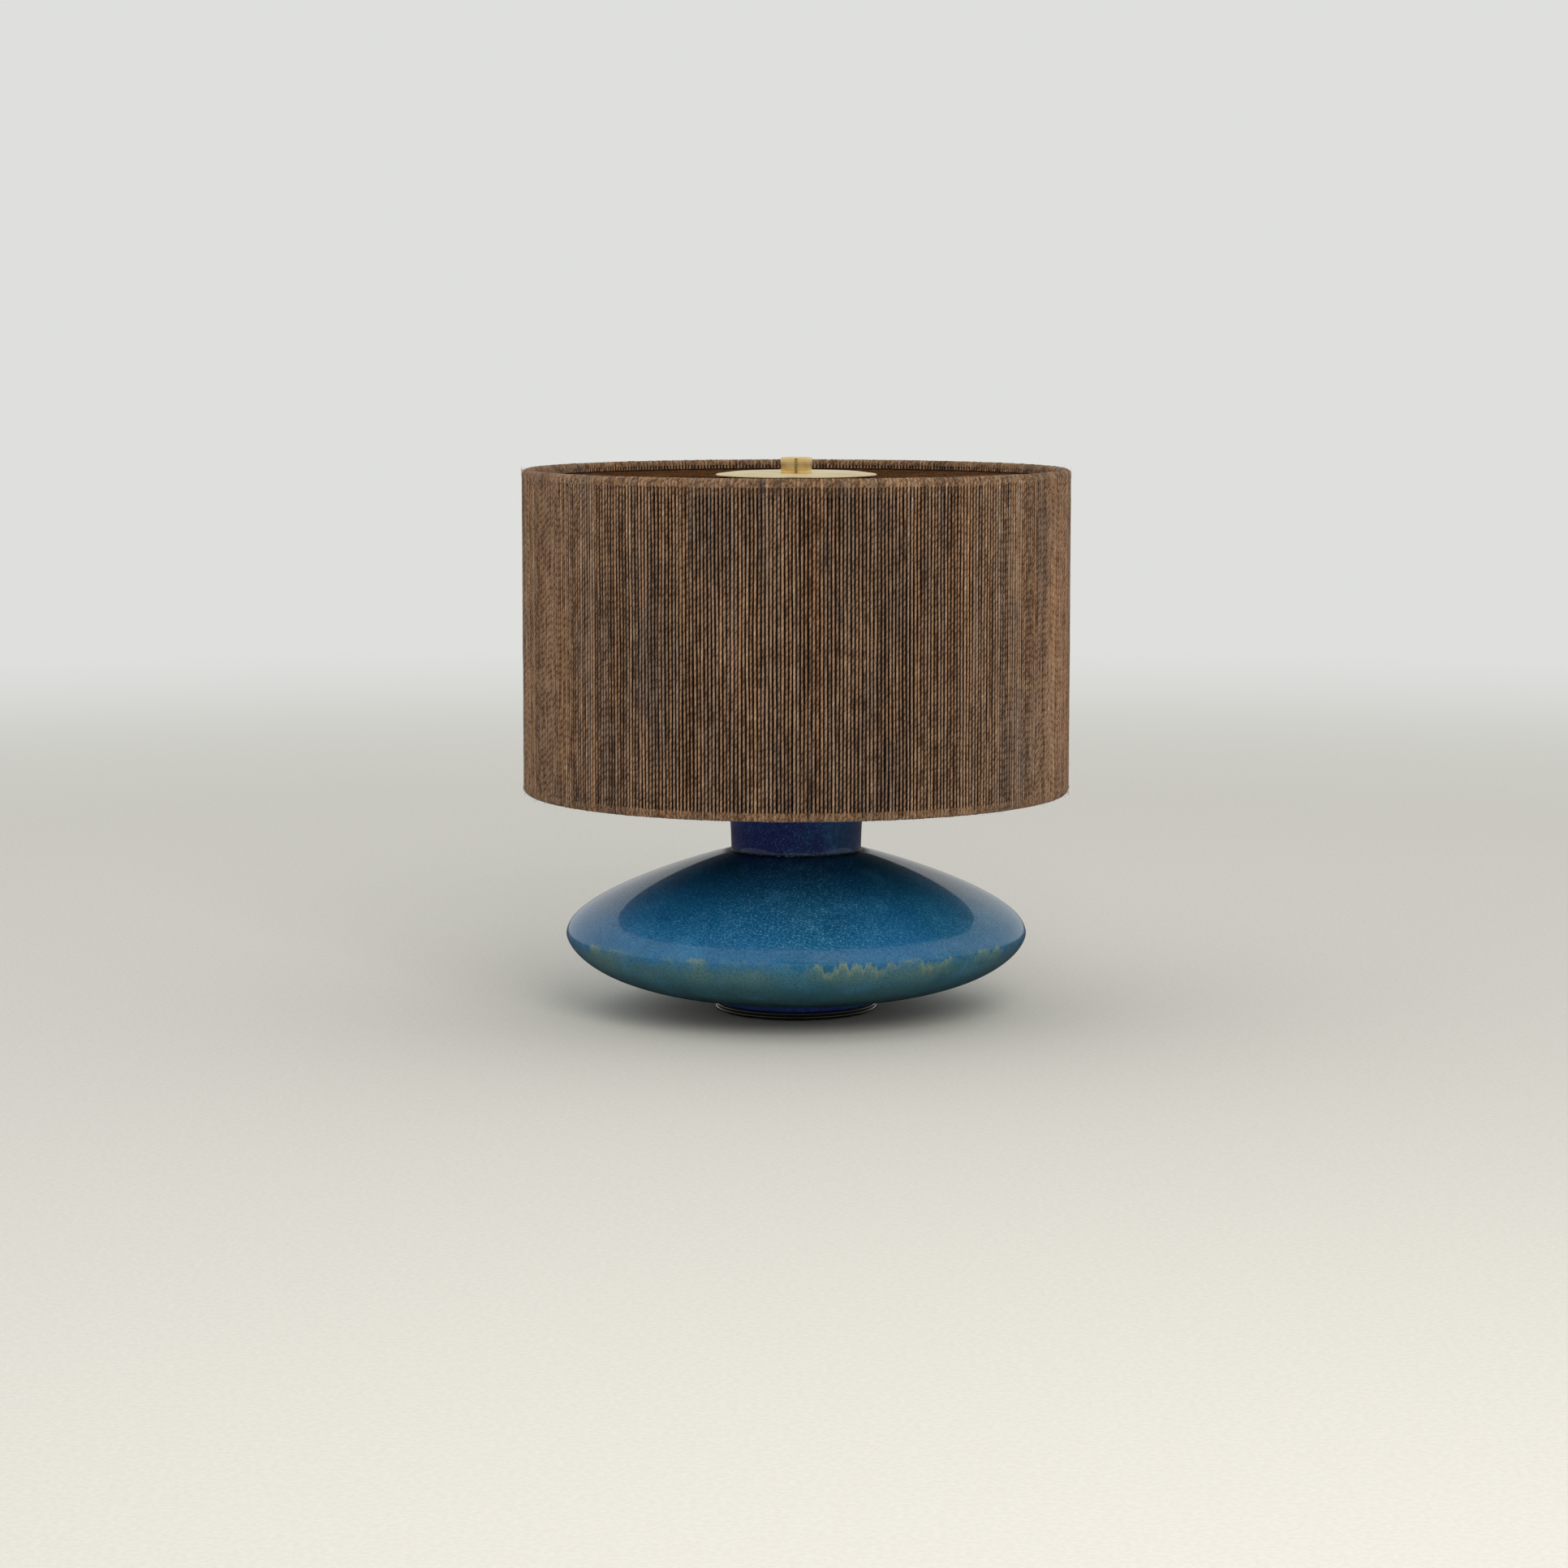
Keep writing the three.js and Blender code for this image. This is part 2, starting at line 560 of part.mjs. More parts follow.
// The core carries the contacts and the switch. The key's shaft ends in a blind hole in its side.
const coreRadius = linerInside - SEAT_GAP;
const shaftEnd = -(coreRadius / 2);
const shaftHole = bar(
  [0, shaftEnd + SEAT_GAP, keyZ], [0, -2 * coreRadius, keyZ], KEY_SHAFT_RADIUS + RUNNING_GAP, PIN_SIDES,
);
place('socket_core', cut(ring(0, coreRadius, coreBottom, coreTop, SEGMENTS_MEDIUM), shaftHole), PORCELAIN);
const contact = ring(0, CONTACT_RADIUS, contactBottom, contactBottom + CONTACT_THICKNESS, SEGMENTS_SMALL);
place('centre_contact', contact, BRASS);

const screwShellInside = SCREW_SHELL_RADIUS - SCREW_SHELL_WALL;
const screwShellBottom = coreTop + SEAT_GAP;
const screwShellTop = screwShellBottom + SCREW_SHELL_HEIGHT;
const screwShell = ring(
  screwShellInside, SCREW_SHELL_RADIUS, screwShellBottom, screwShellTop, SEGMENTS_MEDIUM,
);
place('screw_shell', screwShell, ALUMINIUM);

// The switch key: a shaft with a flat thumb piece on its end, which turns about the shaft's axis.
const keyInside = shaftEnd - KEY_SHAFT_LENGTH;
const keyShaftEnd = keyInside - KEY_THICKNESS / 2;
const keyShaft = bar([0, shaftEnd, keyZ], [0, keyShaftEnd, keyZ], KEY_SHAFT_RADIUS, PIN_SIDES);
place('key_shaft', keyShaft, BRASS);

function switchKey() {
  const outline = new THREE.Shape();
  outline.ellipse(0, 0, KEY_RADIUS, KEY_RADIUS / 2, 0, 2 * Math.PI);
  const thumb = weld(new THREE.ExtrudeGeometry(outline, {
    depth: 2 * KEY_THICKNESS, curveSegments: 8, bevelEnabled: false,
  }));
  const upright = thumb.rotateX(Math.PI / 2).translate(0, keyInside + KEY_THICKNESS / 2 - SEAT_GAP, keyZ);
  const boreEnd = keyShaftEnd - SEAT_GAP;
  const bore = bar([0, 0, keyZ], [0, boreEnd, keyZ], KEY_SHAFT_RADIUS + SEAT_GAP, PIN_SIDES);
  return cut(upright, bore);
}
place('switch_key', switchKey(), PHENOLIC);

// ---------------------------------------------------------------- bulb

const capOutside = screwShellInside - SEAT_GAP;
const insulatorBottom = bulbBottom + BULB_TIP_HEIGHT + SEAT_GAP;
const insulatorTop = insulatorBottom + BULB_INSULATOR_HEIGHT;
const bulbCapBottom = insulatorTop + SEAT_GAP;
const bulbCapTop = bulbCapBottom + BULB_CAP_HEIGHT;

const tip = ring(0, BULB_TIP_RADIUS, bulbBottom, bulbBottom + BULB_TIP_HEIGHT, SEGMENTS_SMALL);
place('bulb_tip', tip, ALUMINIUM);
const insulator = turned([
  [0, insulatorBottom],
  [BULB_TIP_RADIUS, insulatorBottom],
  [capOutside - BULB_CAP_WALL, insulatorTop],
  [0, insulatorTop],
], SEGMENTS_MEDIUM);
place('bulb_insulator', insulator, PHENOLIC);
const bulbCap = ring(capOutside - BULB_CAP_WALL, capOutside, bulbCapBottom, bulbCapTop, SEGMENTS_MEDIUM);
place('bulb_cap', bulbCap, ALUMINIUM);

// A round head that draws in to a straight neck, open at the bottom inside the cap.
function bulbGlass() {
  const neckRadius = Math.min(BULB_NECK_RADIUS, capOutside - BULB_CAP_WALL - SEAT_GAP);
  const headZ = bulbTop - BULB_RADIUS;
  const neckEnd = bulbCapBottom + BULB_CAP_HEIGHT / 2;
  const drawSkin = (path, inset) => {
    path.lineTo(neckRadius - inset, bulbCapTop);
    path.bezierCurveTo(
      neckRadius - inset, bulbCapTop + (headZ - bulbCapTop) / 3,
      BULB_RADIUS - inset, headZ - (headZ - bulbCapTop) / 2,
      BULB_RADIUS - inset, headZ,
    );
    path.absarc(0, headZ, BULB_RADIUS - inset, 0, Math.PI / 2);
  };
  const outside = trace((path) => {
    path.moveTo(neckRadius, neckEnd);
    drawSkin(path, 0);
  }, 4);
  const inside = trace((path) => {
    path.moveTo(neckRadius - BULB_GLASS, neckEnd);
    drawSkin(path, BULB_GLASS);
  }, 4);
  for (const skin of [outside, inside]) {
    skin[skin.length - 1].x = 0;
  }
  const shell = [...outside, ...inside.reverse(), outside[0]];
  return turned(shell, SEGMENTS_MEDIUM);
}
place('bulb_glass', bulbGlass(), FROSTED_GLASS);

// ---------------------------------------------------------------- shade frame

place('top_ring', wireRing(frameRadius, topRingZ, FRAME_WIRE_RADIUS, SEGMENTS_LARGE), FRAME_PAINT);
place('bottom_ring', wireRing(frameRadius, bottomRingZ, FRAME_WIRE_RADIUS, SEGMENTS_LARGE), FRAME_PAINT);

const ribBottom = bottomRingZ + FRAME_WIRE_RADIUS + SEAT_GAP;
const ribTop = topRingZ - FRAME_WIRE_RADIUS - SEAT_GAP;
for (let i = 0; i < RIB_COUNT; i += 1) {
  const wireBar = bar([0, 0, ribBottom], [0, 0, ribTop], FRAME_WIRE_RADIUS);
  const rib = place(`shade_rib_${i + 1}`, wireBar, FRAME_PAINT);
  const angle = ((i + 0.5) / RIB_COUNT) * 2 * Math.PI;
  rib.position.set(frameRadius * Math.cos(angle), frameRadius * Math.sin(angle), 0);
}

// A washer on the harp's stud with arms that reach out to the top ring.
function spider() {
  const armZ = hubTop - FRAME_WIRE_RADIUS;
  const armRadius = FRAME_WIRE_RADIUS - SEAT_GAP / 2;
  const armEnd = frameRadius - FRAME_WIRE_RADIUS - SEAT_GAP;
  const hub = ring(STUD_RADIUS + RUNNING_GAP, HUB_RADIUS, hubBottom, hubTop, SEGMENTS_MEDIUM);
  const arms = [];
  for (let i = 0; i < SPIDER_ARM_COUNT; i += 1) {
    const angle = (i / SPIDER_ARM_COUNT) * 2 * Math.PI;
    const arm = bar([HUB_RADIUS - FRAME_WIRE_RADIUS, 0, armZ], [armEnd, 0, armZ], armRadius);
    arms.push(arm.rotateZ(angle));
  }
  return join(hub, ...arms);
}
place('spider', spider(), FRAME_PAINT);

// ---------------------------------------------------------------- twine

// The outer layer runs over the top rim down to the panel, and under the bottom rim.
function outerTwine() {
  const edge = SHADE_EDGE_RADIUS;
  const innerEdge = edge - LAYER;
  const underTop = shadeTop - LAYER - innerEdge;
  const overBottom = SHADE_BOTTOM_Z + LAYER + innerEdge;
  const channelInside = innerLayerOutside + innerEdge;
  const channelOutside = outerLayerInside - innerEdge;
  const lipBottom = panelTop + SEAT_GAP;
  const quarter = Math.PI / 2;
  const outline = trace((path) => {
    path.moveTo(innerLayerInside, SHADE_BOTTOM_Z + edge);
    path.absarc(innerLayerInside + edge, SHADE_BOTTOM_Z + edge, edge, 2 * quarter, 3 * quarter);
    path.absarc(SHADE_RADIUS - edge, SHADE_BOTTOM_Z + edge, edge, -quarter, 0);
    path.absarc(SHADE_RADIUS - edge, shadeTop - edge, edge, 0, quarter);
    path.absarc(innerLayerInside + edge, shadeTop - edge, edge, quarter, 2 * quarter);
    path.lineTo(innerLayerInside, lipBottom);
    path.lineTo(innerLayerOutside, lipBottom);
    path.absarc(channelInside, underTop, innerEdge, 2 * quarter, quarter, true);
    path.absarc(channelOutside, underTop, innerEdge, quarter, 0, true);
    path.absarc(channelOutside, overBottom, innerEdge, 0, -quarter, true);
    path.absarc(channelInside, overBottom, innerEdge, 3 * quarter, 2 * quarter, true);
    path.lineTo(innerLayerInside, SHADE_BOTTOM_Z + edge);
  }, 1);
  return turned(outline, SEGMENTS_LARGE);
}
place('outer_twine', outerTwine(), TWINE);

const innerTwineBottom = SHADE_BOTTOM_Z + SHADE_EDGE_RADIUS + SEAT_GAP;
const innerTwine = ring(innerLayerInside, innerLayerOutside, innerTwineBottom, innerLayerTop, SEGMENTS_LARGE);
place('inner_twine', innerTwine, TWINE);

const panelRadius = outerLayerInside - SEAT_GAP;
place('top_panel', ring(PANEL_HOLE_RADIUS, panelRadius, panelBottom, panelTop, SEGMENTS_LARGE), TWINE);

// ---------------------------------------------------------------- brass disc and finial

const studBore = STUD_RADIUS + RUNNING_GAP;
const spacerBottom = hubTop + SEAT_GAP;
const spacerTop = plateBottom - SEAT_GAP;
place('disc_spacer', ring(studBore, SPACER_RADIUS, spacerBottom, spacerTop, SEGMENTS_SMALL), BRASS);

function brassDisc() {
  const half = PLATE_THICKNESS / 2;
  const outline = trace((path) => {
    path.moveTo(studBore, plateBottom);
    path.lineTo(PLATE_RADIUS - half, plateBottom);
    path.absarc(PLATE_RADIUS - half, plateBottom + half, half, -Math.PI / 2, Math.PI / 2);
    path.lineTo(studBore, plateTop);
    path.lineTo(studBore, plateBottom);
  }, 2);
  return turned(outline, SEGMENTS_LARGE);
}
place('brass_disc', brassDisc(), PALE_BRASS);

// A plain drum knob with eased edges and a blind hole for the stud.
function finial() {
  const top = finialBottom + FINIAL_HEIGHT;
  const edge = FINIAL_EDGE_RADIUS;
  const outline = trace((path) => {
    path.moveTo(studBore, finialBottom);
    path.lineTo(FINIAL_RADIUS - edge / 2, finialBottom);
    path.lineTo(FINIAL_RADIUS, finialBottom + edge / 2);
    path.absarc(FINIAL_RADIUS - edge, top - edge, edge, 0, Math.PI / 2);
    path.lineTo(0, top);
    path.lineTo(0, studTop + RUNNING_GAP);
    path.lineTo(studBore, studTop + RUNNING_GAP);
    path.lineTo(studBore, finialBottom);
  }, 3);
  return turned(outline, SEGMENTS_MEDIUM);
}
place('finial', finial(), BRASS);

export default lamp;
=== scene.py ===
# %% [markdown]
# # A table lamp with a twine drum shade
#
# The lamp is thrown and glazed clay, bent wire, spun and turned brass, and a few hundred lengths of twine.
# Its frame, with every piece at its real size, comes from the CAD model. This file adds what a camera sees:
# smooth turned surfaces, real strands of twine, and a finish for each material.

# %% Load the lamp's frame
import json
import math

import bmesh
import bpy
import numpy as np
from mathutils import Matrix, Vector


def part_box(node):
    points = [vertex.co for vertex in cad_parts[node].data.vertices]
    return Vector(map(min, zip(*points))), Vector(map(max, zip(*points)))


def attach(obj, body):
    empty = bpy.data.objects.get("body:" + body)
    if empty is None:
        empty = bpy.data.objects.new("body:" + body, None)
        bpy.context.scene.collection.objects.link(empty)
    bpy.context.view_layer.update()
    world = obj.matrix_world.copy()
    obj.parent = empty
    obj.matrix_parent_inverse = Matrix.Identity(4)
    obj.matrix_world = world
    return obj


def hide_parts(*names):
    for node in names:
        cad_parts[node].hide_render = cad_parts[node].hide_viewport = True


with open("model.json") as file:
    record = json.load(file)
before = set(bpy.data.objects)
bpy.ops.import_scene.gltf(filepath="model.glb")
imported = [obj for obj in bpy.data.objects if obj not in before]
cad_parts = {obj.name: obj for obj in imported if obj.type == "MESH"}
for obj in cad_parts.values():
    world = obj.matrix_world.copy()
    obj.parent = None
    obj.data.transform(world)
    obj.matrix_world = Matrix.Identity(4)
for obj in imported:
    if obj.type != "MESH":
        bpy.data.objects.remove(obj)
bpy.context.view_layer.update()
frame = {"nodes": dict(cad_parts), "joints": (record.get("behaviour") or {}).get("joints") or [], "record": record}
MM = 0.001

# %% [markdown]
# ## Camera
#
# A long lens from almost four metres away keeps the sides of the drum nearly parallel. The camera stands a
# little above the shade and looks slightly down, so the rim of the shade shows as a thin ellipse. A turn of a
# sixth of a degree puts the lamp just right of the middle.

# %% Camera
CAMERA_DISTANCE = 3.835
CAMERA_HEIGHT = 0.643
FILM_WIDTH = 36  # millimetres, as the lens below
LENS = 94.9
LOOK_DOWN = math.radians(6.415)
LOOK_LEFT = math.radians(0.17)


def placed(name, data):
    """A new object in the scene, made of the given mesh, lamp or camera."""
    thing = bpy.data.objects.new(name, data)
    bpy.context.collection.objects.link(thing)
    return thing


def make_camera():
    camera = placed("camera", bpy.data.cameras.new("camera"))
    camera.data.sensor_width = FILM_WIDTH
    camera.data.lens = LENS
    camera.location = (0, -CAMERA_DISTANCE, CAMERA_HEIGHT)
    camera.rotation_euler = (math.pi / 2 - LOOK_DOWN, 0, LOOK_LEFT)
    bpy.context.scene.camera = camera
    return camera


camera = make_camera()
print("camera", [round(value, 3) for value in camera.location])

# %% [markdown]
# ## Writing a finish as sums
#
# A finish is a network of nodes, and most of them only add or multiply. The class Amount wraps one socket, so
# that a sum in Python makes the Math nodes. The class Finish makes every other node by one method.

# %% Sums on sockets


def paint(code):
    """A colour written as six hex digits, as the linear values that Blender works in."""
    parts = [int(code[i:i + 2], 16) / 255 for i in (0, 2, 4)]
    return tuple(((p + 0.055) / 1.055) ** 2.4 if p > 0.04045 else p / 12.92 for p in parts) + (1.0,)


class Amount:
    """A socket that carries one number, and can be used in a sum."""

    def __init__(self, finish, socket):
        self.finish = finish
        self.socket = socket

    def sum(self, operation, *terms):
        return self.finish.node("ShaderNodeMath", {"operation": operation}, dict(enumerate(terms)))

    def __add__(self, other):
        return self.sum("ADD", self, other)

    def __radd__(self, other):
        return self.sum("ADD", other, self)

    def __sub__(self, other):
        return self.sum("SUBTRACT", self, other)

    def __rsub__(self, other):
        return self.sum("SUBTRACT", other, self)

    def __mul__(self, other):
        return self.sum("MULTIPLY", self, other)

    def __rmul__(self, other):
        return self.sum("MULTIPLY", other, self)

    def __truediv__(self, other):
        return self.sum("DIVIDE", self, other)

    def __pow__(self, other):
        return self.sum("POWER", self, other)

    def wave(self):
        """A sine of the amount, from 0 to 1, once for every 1 that the amount grows."""
        return self.sum("SINE", self * math.tau) * 0.5 + 0.5

    def step(self, start, end):
        """0 below start, 1 above end, and a soft climb between them."""
        settings = {"interpolation_type": "SMOOTHSTEP"}
        return self.finish.node("ShaderNodeMapRange", settings, {0: self, 1: start, 2: end})


# %% Finish: a material and the nodes in it


class Finish:
    """A material with one Principled shader, whose fixed values are set on the shader itself."""

    def __init__(self, name, **fixed):
        self.material = bpy.data.materials.new(name)
        self.material.use_nodes = True
        self.tree = self.material.node_tree
        self.shader = self.tree.nodes["Principled BSDF"]
        for word, value in fixed.items():
            self.shader.inputs[word.replace("_", " ").title().replace("Ior", "IOR")].default_value = value

    def feed(self, socket, value):
        if isinstance(value, Amount):
            self.tree.links.new(value.socket, socket)
        else:
            socket.default_value = value

    def node(self, kind, settings=None, inputs=None, output=0):
        made = self.tree.nodes.new(kind)
        for word, value in (settings or {}).items():
            if word == "stops":
                self.set_stops(made.color_ramp, value)
            else:
                setattr(made, word, value)
        for key, value in (inputs or {}).items():
            self.feed(made.inputs[key], value)
        return Amount(self, made.outputs[output])

    @staticmethod
    def set_stops(ramp, stops):
        ramp.interpolation = "EASE"
        while len(ramp.elements) < len(stops):
            ramp.elements.new(0.5)
        for element, (position, code) in zip(ramp.elements, stops):
            element.position = position
        for element, (position, code) in zip(ramp.elements, stops):
            element.color = paint(code)

    def ramp(self, amount, stops):
        return self.node("ShaderNodeValToRGB", {"stops": stops}, {0: amount})

    def mix(self, share, first, second, blend="MIX"):
        settings = {"data_type": "RGBA", "blend_type": blend}
        return self.node("ShaderNodeMix", settings, {0: share, 6: first, 7: second}, output=2)

    def vector(self, operation, *terms):
        output = "Value" if operation == "LENGTH" else 0
        return self.node("ShaderNodeVectorMath", {"operation": operation}, dict(enumerate(terms)), output)

    def place(self):
        """Where the point sits on the lamp, in metres."""
        return self.node("ShaderNodeTexCoord", output="Object")

    def split(self, vector, axis):
        return self.node("ShaderNodeSeparateXYZ", inputs={0: vector}, output=axis)

    def join(self, x, y, z):
        return self.node("ShaderNodeCombineXYZ", inputs={0: x, 1: y, 2: z})

    def noise(self, where, scale, detail=2.0, roughness=0.5):
        words = {"Vector": where, "Scale": scale, "Detail": detail, "Roughness": roughness}
        return self.node("ShaderNodeTexNoise", inputs=words)

    def attribute(self, name):
        return self.node("ShaderNodeAttribute", {"attribute_name": name}, output="Fac")

    def colour(self, value):
        self.feed(self.shader.inputs["Base Color"], value)

    def roughness(self, value):
        self.feed(self.shader.inputs["Roughness"], value)

    def bump(self, height, depth, strength=1.0):
        words = {"Strength": strength, "Distance": depth, "Height": height}
        self.feed(self.shader.inputs["Normal"], self.node("ShaderNodeBump", inputs=words))


# %% [markdown]
# ## Turned pieces
#
# Most of the lamp is round: thrown on a wheel, spun from sheet or turned on a lathe. The CAD solid of such a
# piece has flat facets, but its section through the axis is exact. So the section is read from the frame,
# its smooth stretches are rounded, each hard corner gets a small eased edge that catches the light, and the
# result is turned again with many more steps.

# %% Read a section from the frame
FLAT = 1e-6  # metres


def outline_of(node):
    """The section of a round node on the +X side, as (radius, height) points in order."""
    mesh = frame["nodes"][node].data

    def corner(index):
        point = mesh.vertices[index].co
        on_section = abs(point.y) < FLAT and point.x > -FLAT
        return (round(point.x, 6), round(point.z, 6)) if on_section else None

    links = {}
    for first, second in mesh.edge_keys:
        a, b = corner(first), corner(second)
        if a and b and a != b:
            links.setdefault(a, set()).add(b)
            links.setdefault(b, set()).add(a)
    ends = [point for point in links if len(links[point]) == 1]
    walk = [min(ends or links, key=lambda point: (point[1], point[0]))]
    last = None
    while True:
        onward = sorted(point for point in links[walk[-1]] if point != last)
        if not onward:
            return walk
        last = walk[-1]
        walk.append(onward[0])
        if walk[-1] == walk[0]:
            return walk


print("the ceramic's section has", len(outline_of("ceramic_body")), "points")

# %% Round the smooth stretches and ease the corners
HARD_TURN = math.radians(52)
STEPS_IN_STRETCH = 5


def through(a, b, c, d, t):
    """A point between b and c on the smooth curve through a, b, c and d."""
    pull_b, pull_c = (c - a) / 2, (d - b) / 2
    return (
        b * (2 * t**3 - 3 * t**2 + 1) + pull_b * (t**3 - 2 * t**2 + t)
        + c * (3 * t**2 - 2 * t**3) + pull_c * (t**3 - t**2)
    )


def eased(outline, edge):
    """The outline with round stretches made smooth and hard corners cut back by edge."""
    closed = outline[0] == outline[-1]
    points = [Vector(point) for point in (outline[:-1] if closed else outline)]
    count = len(points)

    def is_hard(i):
        if not closed and i in (0, count - 1):
            return True
        before, after = points[i] - points[i - 1], points[(i + 1) % count] - points[i]
        return before.angle(after) > HARD_TURN

    hard = [is_hard(i) for i in range(count)]
    fine = []
    for i in range(count if closed else count - 1):
        j = (i + 1) % count
        b, c = points[i], points[j]
        length = (c - b).length
        a = b * 2 - c if hard[i] else b + (points[i - 1] - b).normalized() * length
        d = c * 2 - b if hard[j] else c + (points[(j + 1) % count] - c).normalized() * length
        start = min(edge / length, 0.4) if hard[i] and (closed or i > 0) else 0
        end = 1 - (min(edge / length, 0.4) if hard[j] and (closed or j < count - 1) else 0)
        stretch = [through(a, b, c, d, start + (end - start) * k / STEPS_IN_STRETCH)
                   for k in range(STEPS_IN_STRETCH + 1)]
        if fine and hard[i]:
            fine += corner_arc(fine[-1], b, stretch[0])
        fine += stretch if hard[i] or not fine else stretch[1:]
    if closed:
        if hard[0]:
            fine += corner_arc(fine[-1], points[0], fine[0])
        fine.append(fine[0])
    return [fine[0]] + [q for p, q in zip(fine, fine[1:]) if (q - p).length > FLAT]


def corner_arc(start, corner, end, steps=4):
    """The points between start and end on a curve that is pulled towards the corner."""
    parts = [k / steps for k in range(1, steps)]
    return [start * (1 - t) ** 2 + corner * 2 * t * (1 - t) + end * t**2 for t in parts]


print("eased, it has", len(eased(outline_of("ceramic_body"), 0.8 * MM)))

# %% Turn a section, and hand a piece over
SHADING_EDGE = math.radians(38)


def mesh_of(name, corners, faces):
    mesh = bpy.data.meshes.new(name)
    mesh.from_pydata(corners, [], faces)
    return mesh


def turned_mesh(name, outline, segments=192, centre=(0, 0)):
    """A mesh of the outline turned round the upright line through centre."""
    closed = (outline[0] - outline[-1]).length < FLAT
    rows = outline[:-1] if closed else outline
    angles = np.arange(segments) * math.tau / segments
    corners = [(centre[0] + p.x * math.cos(a), centre[1] + p.x * math.sin(a), p.y)
               for a in angles for p in rows]
    count = len(rows)
    faces = []
    for k in range(segments):
        here, there = k * count, (k + 1) % segments * count
        for i in range(count if closed else count - 1):
            j = (i + 1) % count
            faces.append((here + i, there + i, there + j, here + j))
    mesh = mesh_of(name, corners, faces)
    tidy_mesh(mesh)
    return mesh


def tidy_mesh(mesh, bevel=0.0):
    """Joins doubled corners, turns the faces outwards, eases the edges and shades the rest smooth."""
    work = bmesh.new()
    work.from_mesh(mesh)
    bmesh.ops.remove_doubles(work, verts=work.verts, dist=FLAT)
    bmesh.ops.dissolve_degenerate(work, edges=work.edges, dist=FLAT)
    if bevel:
        bmesh.ops.dissolve_limit(work, angle_limit=math.radians(1), verts=work.verts, edges=work.edges)
        edges = [e for e in work.edges if len(e.link_faces) == 2 and e.calc_face_angle() > SHADING_EDGE]
        bmesh.ops.bevel(work, geom=edges, offset=bevel, segments=2, affect="EDGES", clamp_overlap=True)
    bmesh.ops.recalc_face_normals(work, faces=work.faces)
    for face in work.faces:
        face.smooth = True
    work.to_mesh(mesh)
    work.free()
    mesh.set_sharp_from_angle(angle=SHADING_EDGE)


pieces_made = {}


def hand_over(name, mesh, finish, body, stands_for=()):
    """Makes the piece, gives it its finish, and lets it ride on a body of the frame."""
    piece = placed(name, mesh)
    mesh.materials.append(finish.material)
    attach(piece, body)
    if stands_for:
        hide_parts(*stands_for)
    pieces_made[name] = len(mesh.polygons)
    return piece


bodies_of = {node: body for body, nodes in frame["record"]["behaviour"]["bodies"].items() for node in nodes}


def stand_in(node, mesh, finish):
    """Hands over a finer piece that stands for one node, on that node's body."""
    return hand_over(node + "_fine", mesh, finish, bodies_of[node], [node])


def turn_again(node, finish, edge, segments=192):
    return stand_in(node, turned_mesh(node + "_fine", eased(outline_of(node), edge), segments), finish)


def ease_again(node, finish, edge):
    """A piece that isn't round: the CAD's own faces, with every hard edge eased."""
    mesh = frame["nodes"][node].data.copy()
    mesh.name = node + "_fine"
    mesh.materials.clear()
    tidy_mesh(mesh, bevel=edge)
    return stand_in(node, mesh, finish)


# %% [markdown]
# ## The glazed body
#
# The body is thrown in one piece, dipped, and fired with a glaze that runs. Where it lies thick it is deep
# blue, where it thins over the widest edge it breaks to a pale periwinkle, and just under that edge it runs
# down in short olive drips. On a real pot all of this follows height and the way the glaze ran, so one ramp
# of colour follows the height, and noise that is stretched along the runs shifts it up and down. Some light
# and shade is painted in too: the pale band over the widest edge is partly a painted highlight, the light
# speckle is made stronger on the front as a painted highlight, and the near-black ring at the neck's foot is
# pooled glaze and painted shade in that crease.

# %% Glaze
GLAZE_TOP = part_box("ceramic_body")[1].z
CREASE = 78 * MM  # where the glaze breaks, just above the widest edge
# The near-black ring at this height is pooled glaze and painted shade in the crease.
NECK_FOOT = 151 * MM  # the dark joint between neck and shoulder


def outward_of(finish):
    """The direction from the lamp's axis to the point, of length 1."""
    return finish.vector("NORMALIZE", finish.vector("MULTIPLY", finish.place(), (1, 1, 0)))


def runs(finish, around, upward):
    """A place that changes quickly round the pot and slowly up it, so that noise on it makes runs."""
    ring = finish.vector("MULTIPLY", outward_of(finish), (around, around, around))
    return finish.vector("ADD", ring, finish.vector("MULTIPLY", finish.place(), (0, 0, upward)))


